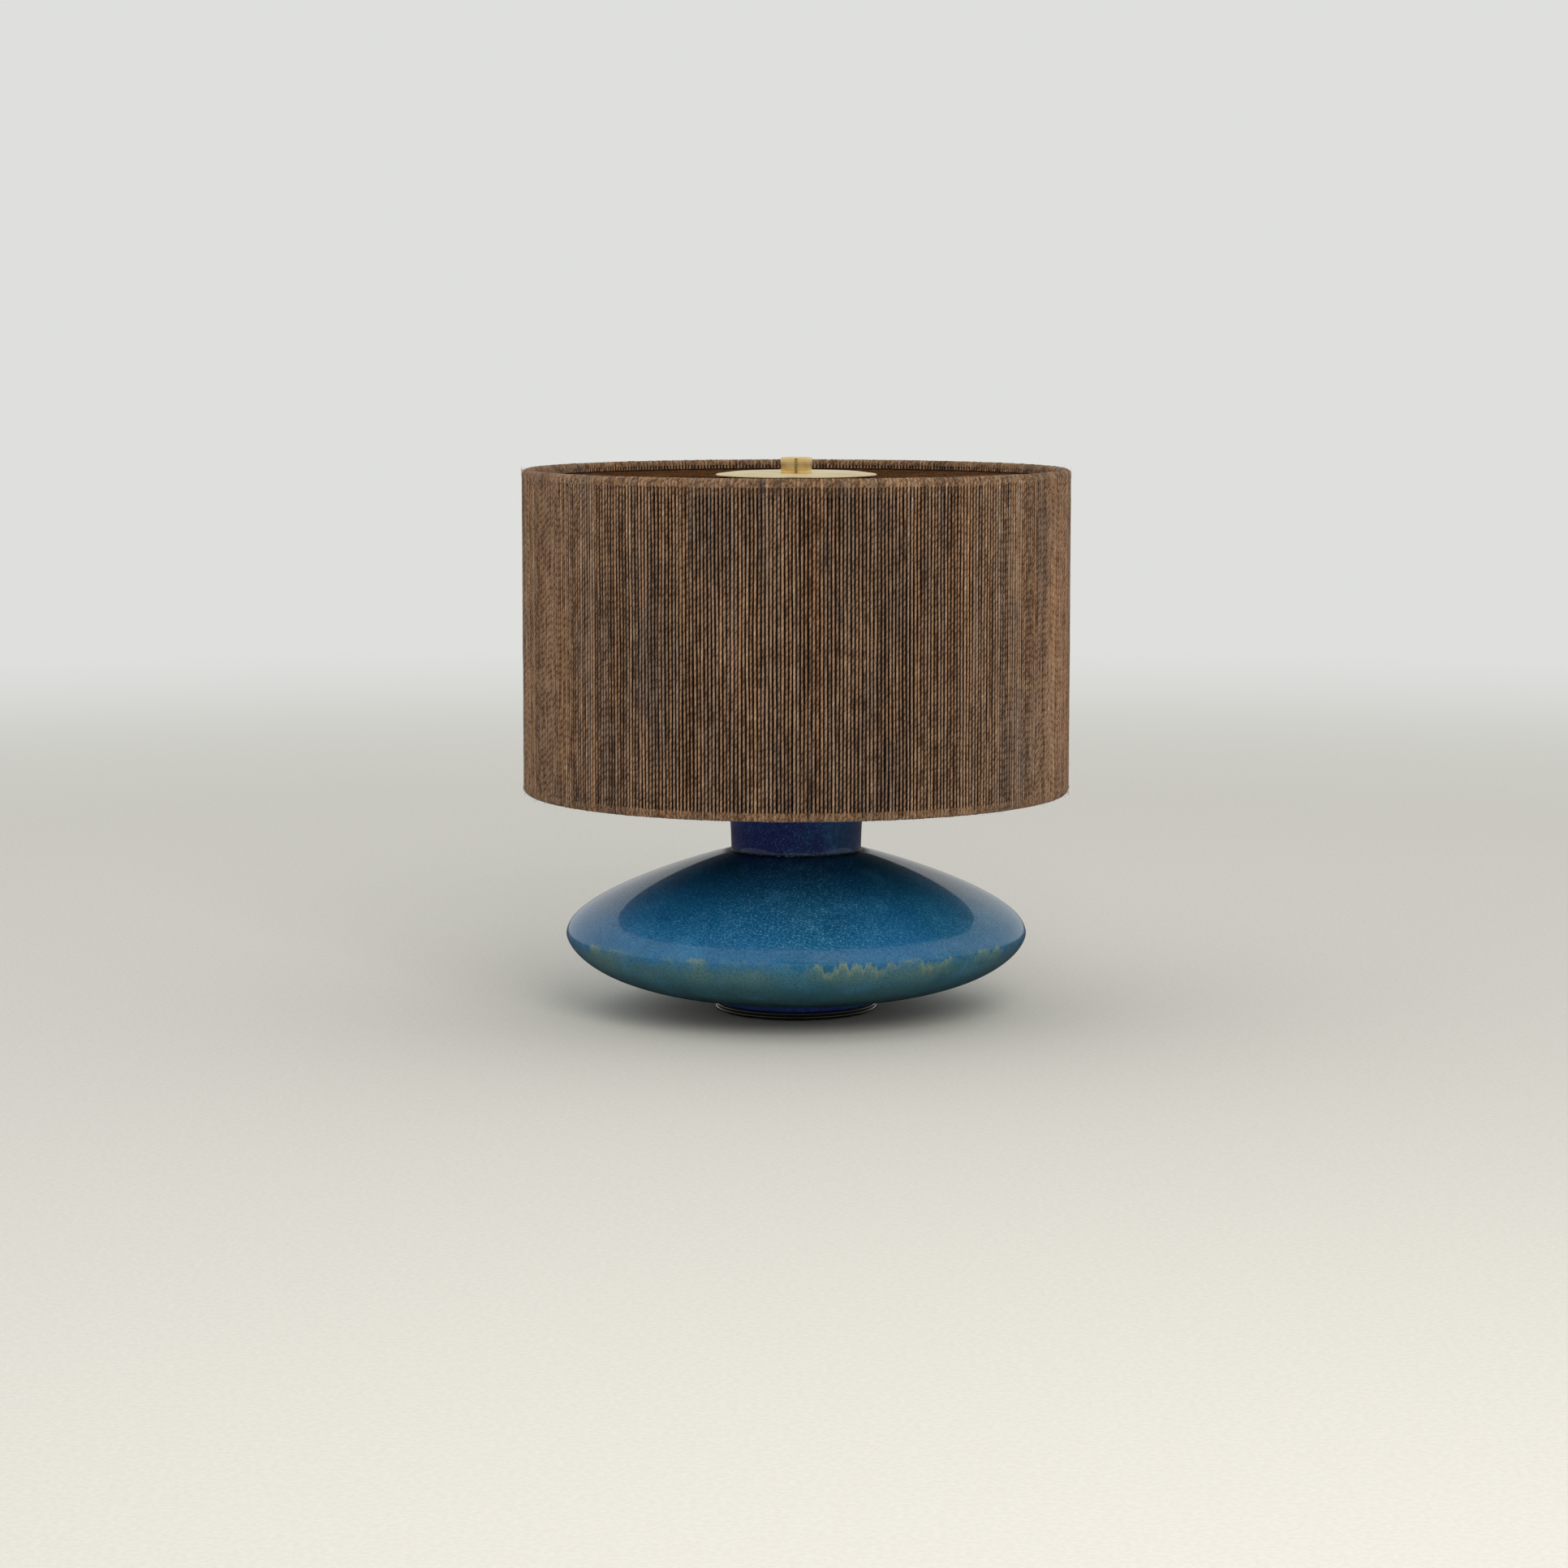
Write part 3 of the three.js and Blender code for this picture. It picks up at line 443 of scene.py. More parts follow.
def glaze_finish():
    glaze = Finish("running_glaze", specular_ior_level=0.1, coat_roughness=0.02, coat_ior=1.5)
    place = glaze.place()
    height = glaze.split(place, 2)
    wide_runs = glaze.noise(runs(glaze, 2.6, 5), 1.0, 3)
    thin_runs = glaze.noise(runs(glaze, 11, 9), 1.0, 3, 0.6)
    level = height + (wide_runs - 0.5) * 0.014 + (thin_runs - 0.5) * 0.008
    stops = [
        (0.045, "2b428c"), (0.085, "28484a"), (0.17, "34616a"), (0.25, "3b6b7c"), (0.31, "2a6690"),
        (0.40, "1b6190"), (0.48, "0f5a88"), (0.56, "08507c"), (0.61, "0d3f66"), (0.66, "111f66"),
        (0.80, "152a6e"),
    ]
    colour = glaze.ramp(level / GLAZE_TOP, stops)
    clouds = glaze.noise(place, 30, 5, 0.65)
    teal = glaze.noise(runs(glaze, 1.7, 3), 1.0, 2)
    crease = level - CREASE
    # The pale band just above the widest edge: partly the glaze breaking thin there, partly a painted highlight
    # along that edge.
    glaze_break_and_highlight = crease.step(-0.0006, 0.0006) * (1 - crease.step(0.003, 0.016))
    wash = glaze.noise(place, 26, 5, 0.6)
    drips = glaze.noise(runs(glaze, 15, 6), 1.0, 3, 0.6)
    ran_down = drips.step(0.46, 0.66) * 0.010
    edge = height + (wide_runs - 0.5) * 0.008 - CREASE + ran_down
    below = (1 - edge.step(-0.003, 0.0005)) * (height - CREASE + 0.034).step(0, 0.022)
    lip = (1 - edge.step(-0.0035, 0.0005)) * (edge + 0.011).step(0, 0.008)
    # A near-black ring where the neck meets the shoulder: glaze pooled in the joint, and painted shade in that
    # crease. The coat is taken off there as well.
    from_joint = (height - NECK_FOOT) * (1 / MM)
    joint = 1 - from_joint.sum("ABSOLUTE", from_joint).step(0.6, 2.6)
    grains = glaze.noise(place, 560, 3, 0.7)
    shoulder = (height - CREASE).step(0.002, 0.02) * (1 - from_joint.step(0, 2) * 0.7)
    # Light speckle on the shoulder is the glaze's own; the extra speckle on the front of the pot is a painted
    # highlight.
    front_highlight = (0 - glaze.split(outward_of(glaze), 1)).step(0.84, 1.0)
    speckle_and_highlight = 0.12 + shoulder * (0.3 + front_highlight * 0.3)
    layers = [
        (teal.step(0.48, 0.66) * 0.35, "0f5a70"),
        (clouds.step(0.50, 0.72) * 0.35, "3f86b4"),
        ((1 - clouds).step(0.54, 0.76) * 0.4, "0a3052"),
        (glaze_break_and_highlight * (0.06 + teal.step(0.4, 0.6) * 0.26), "50739c"),
        (below * (0.14 + wash.step(0.42, 0.62) * 0.34), "667f68"),
        (lip * wash.step(0.48, 0.64) * 0.36, "93a077"),
        (joint * 0.9, "0b0b10"),
        (grains.step(0.52, 0.66) * speckle_and_highlight, "6fa6cb"),
        ((1 - grains).step(0.52, 0.66) * 0.45, "06223a"),
    ]
    for share, code in layers:
        colour = glaze.mix(share, colour, paint(code))
    glaze.colour(colour)
    glaze.feed(glaze.shader.inputs["Coat Weight"], (1 - joint) * (0.38 + wide_runs * 0.2))
    glaze.roughness(0.34 + clouds * 0.12)
    glaze.bump(clouds * 0.5 + thin_runs + glaze.noise(place, 14, 1), 0.5 * MM, 0.35)
    return glaze


glaze = glaze_finish()
turn_again("ceramic_body", glaze, 0.8 * MM, 256)
print("glazed body", pieces_made["ceramic_body_fine"], "faces")

# %% [markdown]
# ## Lacquered foot, felt and rubber
#
# The body stands on a wooden disc with two turned beads, lacquered black. Lacquer is never evenly glossy, so
# its roughness wanders, and it is rubbed a little paler in patches. The felt underneath and the rubber bushing
# of the cord inlet take the light without shine.

# %% Lacquer, felt, rubber, card


def lacquer_finish():
    lacquer = Finish("black_lacquer", coat_weight=1.0, coat_roughness=0.04)
    place = lacquer.place()
    wear = lacquer.noise(place, 120, 4, 0.65)
    lacquer.colour(lacquer.ramp(wear, [(0.35, "0c0c0c"), (0.62, "171614"), (0.8, "33302b")]))
    lacquer.roughness(0.22 + wear * 0.25)
    lacquer.bump(lacquer.noise(runs(lacquer, 3, 900), 1.0, 2) + wear, 0.08 * MM, 0.5)
    return lacquer


def matt_finish(name, dark, light, grain, roughness, depth):
    """Felt, rubber, card and moulded pieces: two close tones over a fine grain."""
    matt = Finish(name, specular_ior_level=0.3)
    place = matt.place()
    fine = matt.noise(place, grain, 4, 0.7)
    broad = matt.noise(place, grain / 14, 2)
    matt.colour(matt.ramp(fine * 0.6 + broad * 0.4, [(0.32, dark), (0.68, light)]))
    matt.roughness(roughness - 0.12 + fine * 0.2)
    matt.bump(fine, depth, 0.8)
    return matt


lacquer = lacquer_finish()
felt = matt_finish("wool_felt", "171a18", "343833", 1500, 0.95, 0.25 * MM)
rubber = matt_finish("moulded_rubber", "121212", "232322", 900, 0.75, 0.05 * MM)
card = matt_finish("fibre_card", "46372a", "6d5a42", 1300, 0.9, 0.08 * MM)
phenolic = matt_finish("moulded_phenolic", "120d0a", "241a13", 700, 0.42, 0.03 * MM)
porcelain = matt_finish("porcelain", "dcd5c6", "efeae0", 500, 0.35, 0.02 * MM)
frame_paint = matt_finish("brown_coated_wire", "2b2018", "45362a", 700, 0.5, 0.05 * MM)
turn_again("felt_pad", felt, 0.4 * MM)
turn_again("neck_cushion", rubber, 0.2 * MM)
print("felt pad and neck cushion", pieces_made["felt_pad_fine"] + pieces_made["neck_cushion_fine"], "faces")

# %% The foot disc keeps its notch for the cord


def notch_half_width():
    """Half the width of the notch, read from the foot disc's lowest corners beside it."""
    low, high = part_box("foot_disc")
    corners = [v.co for v in frame["nodes"]["foot_disc"].data.vertices]
    beside = [abs(co.x) for co in corners if co.y > high.y * 0.9 and co.z < low.z + FLAT]
    return min(x for x in beside if x > MM)


def foot_disc():
    mesh = turned_mesh("foot_disc_fine", eased(outline_of("foot_disc"), 0.5 * MM), 256)
    piece = stand_in("foot_disc", mesh, lacquer)
    clearance = 0.3 * MM
    notch_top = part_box("cord_bushing")[1].z + clearance
    half_width = notch_half_width()
    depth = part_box("foot_disc")[1].y * 2
    ring = ((-1, 0), (1, 0), (1, 1), (-1, 1))
    corners = [(x * half_width, y * depth, z) for z in (-1, notch_top) for x, y in ring]
    sides = [(0, 3, 2, 1), (4, 5, 6, 7), (0, 1, 5, 4), (1, 2, 6, 5), (2, 3, 7, 6), (3, 0, 4, 7)]
    cutter = placed("notch", mesh_of("notch", corners, sides))
    cut = piece.modifiers.new("notch", "BOOLEAN")
    cut.operation = "DIFFERENCE"
    cut.solver = "EXACT"
    cut.object = cutter
    shown = piece.evaluated_get(bpy.context.evaluated_depsgraph_get())
    piece.data = bpy.data.meshes.new_from_object(shown)
    piece.modifiers.clear()
    bpy.data.objects.remove(cutter)
    piece.data.set_sharp_from_angle(angle=SHADING_EDGE)
    return piece


foot_disc()
ease_again("cord_bushing", rubber, 0.25 * MM)
print("foot disc with a notch", round(2 * notch_half_width() / MM, 1), "mm wide")

# %% [markdown]
# ## Metals
#
# The disc on the shade and the knob above it are turned brass. A lathe leaves fine rings in the metal, which
# blur reflections across them and keep them sharp along them. Noise that is stretched round the axis does
# the same in the bump and the roughness, and a slow stain makes the metal look handled. The steel pieces and
# the aluminium ones are the same finish in other colours.

# %% Turned metal


def metal_finish(name, dark, light, polish, rings=2600, stain=18, depth=0.02 * MM):
    metal = Finish(name, metallic=1.0)
    place = metal.place()
    across = metal.vector("LENGTH", metal.vector("MULTIPLY", place, (1, 1, 0)))
    lathe = metal.noise(metal.join(across * rings, metal.split(place, 2) * rings, 0), 1.0, 3)
    cloud = metal.noise(place, stain, 4, 0.6)
    metal.colour(metal.ramp(cloud * 0.7 + lathe * 0.3, [(0.34, dark), (0.62, light)]))
    metal.roughness(polish + (cloud - 0.5) * 0.12 + (lathe - 0.5) * 0.06)
    metal.bump(lathe, depth, 0.6)
    return metal


pale_brass = metal_finish("pale_satin_brass", "d6bc80", "ecdaa6", 0.34)
knob_brass = metal_finish("turned_knob_brass", "e0b467", "f9dea2", 0.25, 900, 40, 0.003 * MM)
brass = metal_finish("spun_brass", "b39557", "d9bf86", 0.30)
steel = metal_finish("zinc_steel", "8f918f", "b9bab7", 0.36)
aluminium = metal_finish("drawn_aluminium", "b5b7b8", "d3d5d6", 0.32)
for node in ("bottom_washer", "lock_washer"):
    turn_again(node, steel, 0.15 * MM, 96)
turn_again("lamp_pipe", steel, 0.25 * MM, 96)
ease_again("bottom_nut", steel, 0.3 * MM)
ease_again("cap_nut", brass, 0.3 * MM)
turn_again("vase_cap", brass, 0.3 * MM, 192)
turn_again("brass_disc", pale_brass, 0.3 * MM, 256)
turn_again("disc_spacer", brass, 0.2 * MM, 96)
print("metal pieces so far", [name for name in pieces_made if "fine" in name][-8:])

# %% The knob has a narrow groove just above its foot


def grooved_knob():
    low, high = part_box("finial")
    outline = outline_of("finial")
    groove, foot = 0.5 * MM, 2.2 * MM
    level = low.z + foot
    inside, above = high.x - groove, level + groove
    cuts = [(high.x, level), (inside, level), (inside, above), (high.x, above)]
    walk = []
    for here, there in zip(outline, outline[1:]):
        walk.append(here)
        if abs(here[0] - high.x) < FLAT and abs(there[0] - high.x) < FLAT:
            walk += cuts if here[1] < there[1] else cuts[::-1]
    walk.append(outline[-1])
    mesh = turned_mesh("finial_fine", eased(walk, 0.18 * MM), 160)
    return stand_in("finial", mesh, knob_brass)


grooved_knob()
print("knob", pieces_made["finial_fine"], "faces")

# %% [markdown]
# ## Socket, switch and bulb
#
# Under the shade sits an ordinary screw socket: a spun brass cap and shell with a card liner, a porcelain
# core and a turn switch. The bulb is frosted on the inside, so when it is off the glass looks like thin milk.
# Its surface stays glossy while the body scatters light.

# %% Socket and bulb


def frosted_glass_finish():
    glass = Finish("frosted_glass", coat_weight=0.8, coat_roughness=0.03, subsurface_weight=0.25)
    place = glass.place()
    frost = glass.noise(place, 60, 3)
    glass.colour(glass.ramp(frost, [(0.3, "e6e4dc"), (0.7, "f3f1ea")]))
    glass.roughness(0.42 + frost * 0.15)
    glass.bump(glass.noise(place, 2500, 1), 0.02 * MM, 0.3)
    return glass


frosted_glass = frosted_glass_finish()
for node in ("socket_cap", "socket_shell"):
    ease_again(node, brass, 0.15 * MM)
turn_again("centre_contact", brass, 0.2 * MM, 128)
ease_again("socket_liner", card, 0.1 * MM)
ease_again("socket_core", porcelain, 0.3 * MM)
turn_again("screw_shell", aluminium, 0.12 * MM, 128)
turn_again("bulb_tip", aluminium, 0.5 * MM, 64)
turn_again("bulb_insulator", phenolic, 0.3 * MM, 96)
turn_again("bulb_cap", aluminium, 0.12 * MM, 128)
turn_again("bulb_glass", frosted_glass, 0.3 * MM, 128)
ease_again("set_screw", steel, 0.2 * MM)
ease_again("key_shaft", brass, 0.2 * MM)
ease_again("switch_key", phenolic, 0.8 * MM)

# %% [markdown]
# ## Wire: harp and shade frame
#
# The harp is one springy wire, bent out around the bulb and held at its feet by two loose ferrules. The shade
# frame is welded from thinner wire. Both are swept: a round section is carried along a path, and turned as
# little as possible from one step to the next so that it never twists.

# %% Sweep a wire


def smooth_path(points, steps):
    """More points on the smooth curve through the given ones."""
    points = [Vector(point) for point in points]
    fine = []
    for i in range(len(points) - 1):
        b, c = points[i], points[i + 1]
        length = (c - b).length
        a = b + (points[i - 1] - b).normalized() * length if i else b * 2 - c
        d = c + (points[i + 2] - c).normalized() * length if i + 2 < len(points) else c * 2 - b
        fine += [through(a, b, c, d, k / steps) for k in range(steps)]
    return fine + [points[-1]]


def swept(path, radius, sides=16):
    """Corners and faces of a round wire along the path, with flat ends."""
    corners, faces = [], []
    side = (path[1] - path[0]).orthogonal().normalized()
    for i, point in enumerate(path):
        along = (path[min(i + 1, len(path) - 1)] - path[max(i - 1, 0)]).normalized()
        side = (side - along * side.dot(along)).normalized()
        other = along.cross(side)
        for k in range(sides):
            angle = math.tau * k / sides
            corners.append(point + side * math.cos(angle) * radius + other * math.sin(angle) * radius)
    for i in range(len(path) - 1):
        for k in range(sides):
            j = (k + 1) % sides
            faces.append((i * sides + k, i * sides + j, (i + 1) * sides + j, (i + 1) * sides + k))
    last = (len(path) - 1) * sides
    faces.append(tuple(range(sides - 1, -1, -1)))
    faces.append(tuple(range(last, last + sides)))
    return corners, faces


def wire_mesh(name, wires):
    """One mesh of several wires, each given as (path, radius)."""
    corners, faces = [], []
    for path, radius in wires:
        start = len(corners)
        more_corners, more_faces = swept(path, radius)
        corners += more_corners
        faces += [tuple(start + i for i in face) for face in more_faces]
    mesh = mesh_of(name, corners, faces)
    tidy_mesh(mesh)
    return mesh


# %% Harp, saddle and ferrules
FERRULE_PLAY = 0.5 * MM
FERRULE_BEAD = 0.4 * MM


def harp():
    low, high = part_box("harp")
    wire_radius = high.y
    ferrule_low, ferrule_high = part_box("harp_ferrule_right")
    leg = (ferrule_low.x + ferrule_high.x) / 2
    ferrule = ferrule_high.z - ferrule_low.z
    lift = next(joint for joint in frame["joints"] if joint["name"] == "ferrule_right_lift")["range_m"][1]
    widest = high.x - wire_radius
    rise = high.z - wire_radius - low.z
    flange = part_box("harp_stud")[1].x
    clear = ferrule + lift
    side = [
        (leg, 0), (leg, clear / 2), (leg, clear), (leg, clear + ferrule_high.y * 2),
        (widest * 0.86, rise * 0.34), (widest, rise * 0.52), (widest * 0.88, rise * 0.74),
        (widest * 0.48, rise * 0.94), (flange * 2, rise), (flange, rise),
    ]
    left = [(-x, 0, low.z + up) for x, up in side]
    right = [(x, 0, low.z + up) for x, up in reversed(side)]
    mesh = wire_mesh("harp_fine", [(smooth_path(left + right, 8), wire_radius)])
    return stand_in("harp", mesh, brass)


def ferrules():
    wire_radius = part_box("harp")[1].y
    for node in ("harp_ferrule_left", "harp_ferrule_right"):
        low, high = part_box(node)
        bore, outside, bead = wire_radius + FERRULE_PLAY, high.y, FERRULE_BEAD
        section = [
            (bore, low.z), (outside, low.z), (outside, low.z + 3 * bead),
            (outside - bead, low.z + 4 * bead), (outside - bead, high.z - 4 * bead),
            (outside, high.z - 3 * bead), (outside, high.z), (bore, high.z), (bore, low.z),
        ]
        mesh = turned_mesh(node + "_fine", eased(section, 0.3 * MM), 64, ((low.x + high.x) / 2, 0))
        stand_in(node, mesh, brass)


harp()
ferrules()
ease_again("harp_saddle", brass, 0.35 * MM)
turn_again("harp_stud", brass, 0.3 * MM, 96)
print("harp", pieces_made["harp_fine"], "faces")

# %% Shade frame
FRAME_WIRE = (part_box("top_ring")[1].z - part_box("top_ring")[0].z) / 2
ARM_IN_HUB = 3 * MM
ARM_THINNER = 0.15 * MM


def bore_of(node):
    """The smallest distance of a node's corners from the lamp's axis."""
    return min(math.hypot(v.co.x, v.co.y) for v in frame["nodes"][node].data.vertices)


def shade_frame():
    for node in ("top_ring", "bottom_ring"):
        turn_again(node, frame_paint, 0.1 * MM, 256)
    for number in range(1, 7):
        node = f"shade_rib_{number}"
        low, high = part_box(node)
        middle = (low + high) / 2
        path = [Vector((middle.x, middle.y, z)) for z in np.linspace(low.z, high.z, 6)]
        mesh = wire_mesh(node + "_fine", [(path, FRAME_WIRE)])
        stand_in(node, mesh, frame_paint)


def spider():
    """A washer on the stud, and three arms that reach the top ring."""
    low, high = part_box("spider")
    bore = bore_of("spider")
    hub_radius = max(-v.co.x for v in frame["nodes"]["spider"].data.vertices if abs(v.co.y) < MM)
    level = (low.z + high.z) / 2
    section = [(bore, low.z), (hub_radius, low.z), (hub_radius, high.z), (bore, high.z), (bore, low.z)]
    washer = turned_mesh("spider_washer", eased(section, 0.6 * MM), 128)
    arms = []
    for number in range(3):
        angle = math.tau * number / 3
        outward = Vector((math.cos(angle), math.sin(angle), 0))
        along = np.linspace(hub_radius - ARM_IN_HUB, high.x, 12)
        arms.append(([outward * r + Vector((0, 0, level)) for r in along], FRAME_WIRE - ARM_THINNER))
    mesh = wire_mesh("spider_fine", arms)
    work = bmesh.new()
    work.from_mesh(mesh)
    work.from_mesh(washer)
    work.to_mesh(mesh)
    work.free()
    mesh.set_sharp_from_angle(angle=SHADING_EDGE)
    return stand_in("spider", mesh, frame_paint)


shade_frame()
spider()
print("shade frame done")

# %% [markdown]
# ## Twine
#
# The wall of the shade is some 465 lengths of twine, laid upright side by side but never quite touching, so
# dark gaps show between them. Twine is uneven: it swells and thins, leans on its neighbours, and frays into
# patches where several strands mat together. Modelling each strand as a real tube gives the gaps their true
# shadows. Each strand carries a tone of its own and a map of round and along, so that its finish can draw the
# diagonal lie of the plies and the fibres.

# %% Finish for twine


def twine_finish(name, stops, dust=0.8, shine=0.1):
    twine = Finish(name, sheen_weight=shine * 0.8, sheen_roughness=0.6, specular_ior_level=shine)
    place = twine.place()
    map_of_strand = twine.node("ShaderNodeUVMap", {"uv_map": "strand"})
    around = twine.split(map_of_strand, 0)
    along = twine.split(map_of_strand, 1)
    tone = twine.attribute("tone")
    ply = (along * 160 + around * 1.0 + tone * 7).wave()
    fibre = twine.noise(twine.join(around * 5, along * 420, tone * 60), 1.0, 3, 0.7)
    knots = twine.noise(twine.join(0, along * 55, tone * 90), 1.0, 2)
    patches = twine.noise(place, 11, 4, 0.6)
    worn = twine.noise(twine.vector("MULTIPLY", place, (1, 1, 0.25)), 210, 4, 0.7)
    # The thin dark line once along each twist, from ply**4, is painted shade in the groove between the plies.
    value = 0.19 + tone * 0.09 + fibre * 0.36 + knots * 0.26 + patches * 0.08 + worn * 0.2 - ply**4 * 0.08
    colour = twine.ramp(value, stops)
    dyed = twine.noise(twine.join(tone * 70, along * 1.5, 0), 1.0, 1)
    tints = [(0.36, "fff0da"), (0.46, "fff8f0"), (0.56, "f0f2f6"), (0.66, "ffecda")]
    colour = twine.mix(1.0, colour, twine.ramp(dyed, tints), "MULTIPLY")
    greyed = twine.noise(twine.join(tone * 40, 0, 0), 1.0, 0).step(0.4, 0.6)
    dusty = twine.noise(twine.vector("MULTIPLY", place, (1, 1, 0.3)), 24, 3, 0.6).step(0.50, 0.62)
    grey = dusty * (0.4 + greyed * 0.6) * dust
    colour = twine.mix(grey, colour, twine.mix(1.0, colour, paint("c6d2e8"), "MULTIPLY"))
    twine.colour(colour)
    twine.roughness(0.82 + fibre * 0.14)
    twine.bump(ply * 0.6 + fibre * 0.7 + worn * 0.5, 0.5 * MM, 0.7)
    return twine


outer_twine_finish = twine_finish(
    "upright_twine", [(0.46, "24170c"), (0.58, "5e4635"), (0.71, "9d8068"), (0.88, "d2bba5")]
)
# The inner layer is the same twine as the outer, but painted much darker: painted shade, for the shadow it lies in
# behind the outer layer.
shaded_inner_twine_finish = twine_finish(
    "inner_twine", [(0.44, "0f0703"), (0.60, "1f1108"), (0.78, "352011"), (0.94, "4c3320")]
)
rim_twine_finish = twine_finish(
    "matted_rim_twine", [(0.44, "2e1e10"), (0.58, "5f4733"), (0.74, "8f7153"), (0.92, "b49674")], 0.4
)
panel_twine_finish = twine_finish(
    "panel_twine", [(0.44, "20130a"), (0.60, "412a19"), (0.76, "674a31"), (0.94, "896950")], 0.5, 0.0
)
binding = matt_finish("rim_binding", "2a1a0e", "4c3420", 900, 0.9, 0.1 * MM)
# The lining's dark colour is painted shade: it stands in for the shadow between the two layers of twine.
lining_painted_dark = matt_finish("dark_lining_cloth", "1c110a", "302013", 1100, 0.95, 0.08 * MM)

# %% Many strands in one mesh
rng = np.random.default_rng(20)


def strands_mesh(name, centres, sideways, outward, widths, depths, tones, sides=6):
    """Tubes through centres[strand, row], each with its own half width, half depth and tone."""
    strands, rows = widths.shape
    angles = np.arange(sides) * math.tau / sides
    wide = np.cos(angles)[None, None, :, None] * widths[:, :, None, None] * sideways[:, :, None, :]
    deep = np.sin(angles)[None, None, :, None] * depths[:, :, None, None] * outward[:, :, None, :]
    corners = (centres[:, :, None, :] + wide + deep).reshape(-1, 3)
    counts = (strands, rows - 1, sides)
    strand, row, side = np.meshgrid(*[np.arange(count) for count in counts], indexing="ij")
    following = (side + 1) % sides

    def index(row_at, side_at):
        return (strand * rows + row_at) * sides + side_at

    quads = np.stack([index(row, side), index(row, following),
                      index(row + 1, following), index(row + 1, side)], -1)
    mesh = mesh_of(name, corners.tolist(), quads.reshape(-1, 4).tolist())
    steps = np.linalg.norm(np.diff(centres, axis=1), axis=2)
    length = np.concatenate([np.zeros((strands, 1)), np.cumsum(steps, axis=1)], axis=1)
    low, high = length[strand, row], length[strand, row + 1]
    left, right = side / sides, (side + 1) / sides
    pairs = np.stack([np.stack([left, low], -1), np.stack([right, low], -1),
                      np.stack([right, high], -1), np.stack([left, high], -1)], -2)
    mesh.uv_layers.new(name="strand").data.foreach_set("uv", pairs.reshape(-1))
    mesh.attributes.new("tone", "FLOAT", "POINT").data.foreach_set("value", np.repeat(tones, rows * sides))
    mesh.polygons.foreach_set("use_smooth", np.ones(len(mesh.polygons), bool))
    mesh.update()
    return mesh


def directions(angle):
    """Outward, sideways and upward at every angle round the lamp."""
    cosine, sine, zero = np.cos(angle), np.sin(angle), np.zeros_like(angle)
    outward = np.stack([cosine, sine, zero], -1)
    return outward, np.stack([-sine, cosine, zero], -1), np.broadcast_to((0.0, 0.0, 1.0), outward.shape)


def wander(strands, rows, knots, size):
    """Smooth random values for each strand along its length."""
    rough = rng.normal(0, size, (strands, knots))
    at = np.linspace(0, knots - 1, rows)
    start = np.minimum(at.astype(int), knots - 2)
    part = (at - start) ** 2 * (3 - 2 * (at - start))
    return rough[:, start] * (1 - part) + rough[:, start + 1] * part


def shared(strands, rows, around_knots, along_knots, size):
    """Smooth random values that neighbouring strands share, closed all round."""
    rough = rng.normal(0, size, (around_knots, along_knots))
    rough = np.concatenate([rough, rough[:1]])
    a = np.linspace(0, around_knots, strands, endpoint=False)
    i = a.astype(int)
    part = ((a - i) ** 2 * (3 - 2 * (a - i)))[:, None]
    table = rough[i] * (1 - part) + rough[i + 1] * part
    at = np.linspace(0, along_knots - 1, rows)
    j = np.minimum(at.astype(int), along_knots - 2)
    share = (at - j) ** 2 * (3 - 2 * (at - j))
    return table[:, j] * (1 - share) + table[:, j + 1] * share


# %% Upright strands of both layers
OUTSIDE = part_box("outer_twine")[1].x
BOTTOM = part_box("outer_twine")[0].z
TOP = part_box("outer_twine")[1].z
PANEL_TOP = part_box("top_panel")[1].z
PITCH = 3.41 * MM
INNER_PITCH = 3.3 * MM
HALF_WIDTH = 1.0 * MM
HALF_DEPTH = 0.95 * MM
RIM_BEND = 4 * MM
RIM_TURN = 9 * MM  # where the wall's strands begin to turn over, from the end of the shade
BOTTOM_HEM = 7 * MM  # how far up the inside they go at the bottom
LAYER_INSET = 4 * MM  # how far above the bottom rim the inner layer starts
INSIDE = bore_of("inner_twine")
INNER_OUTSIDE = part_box("inner_twine")[1].x
LAYERS_MIDDLE = (INSIDE + INNER_OUTSIDE) / 2
WALL_RADIUS = OUTSIDE - 1.05 * MM
LIP_RADIUS = INSIDE + 1.0 * MM


def over_rim(end, side, inside_end, wall_end):
    """A path up the outside wall, round the rim and down its inside, as (radius, height) points."""
    level = end - side * (HALF_WIDTH + RIM_BEND)
    bends = [(math.cos(bend), math.sin(bend)) for bend in np.linspace(0, 1, 4) * math.pi / 2]
    path = [(WALL_RADIUS, height) for height in np.linspace(wall_end, level, 4)[:-1]]
    path += [(WALL_RADIUS - RIM_BEND + RIM_BEND * c, level + side * RIM_BEND * s) for c, s in bends]
    path += [(LIP_RADIUS + RIM_BEND - RIM_BEND * s, level + side * RIM_BEND * c) for c, s in bends]
    return path + [(LIP_RADIUS, inside_end)]


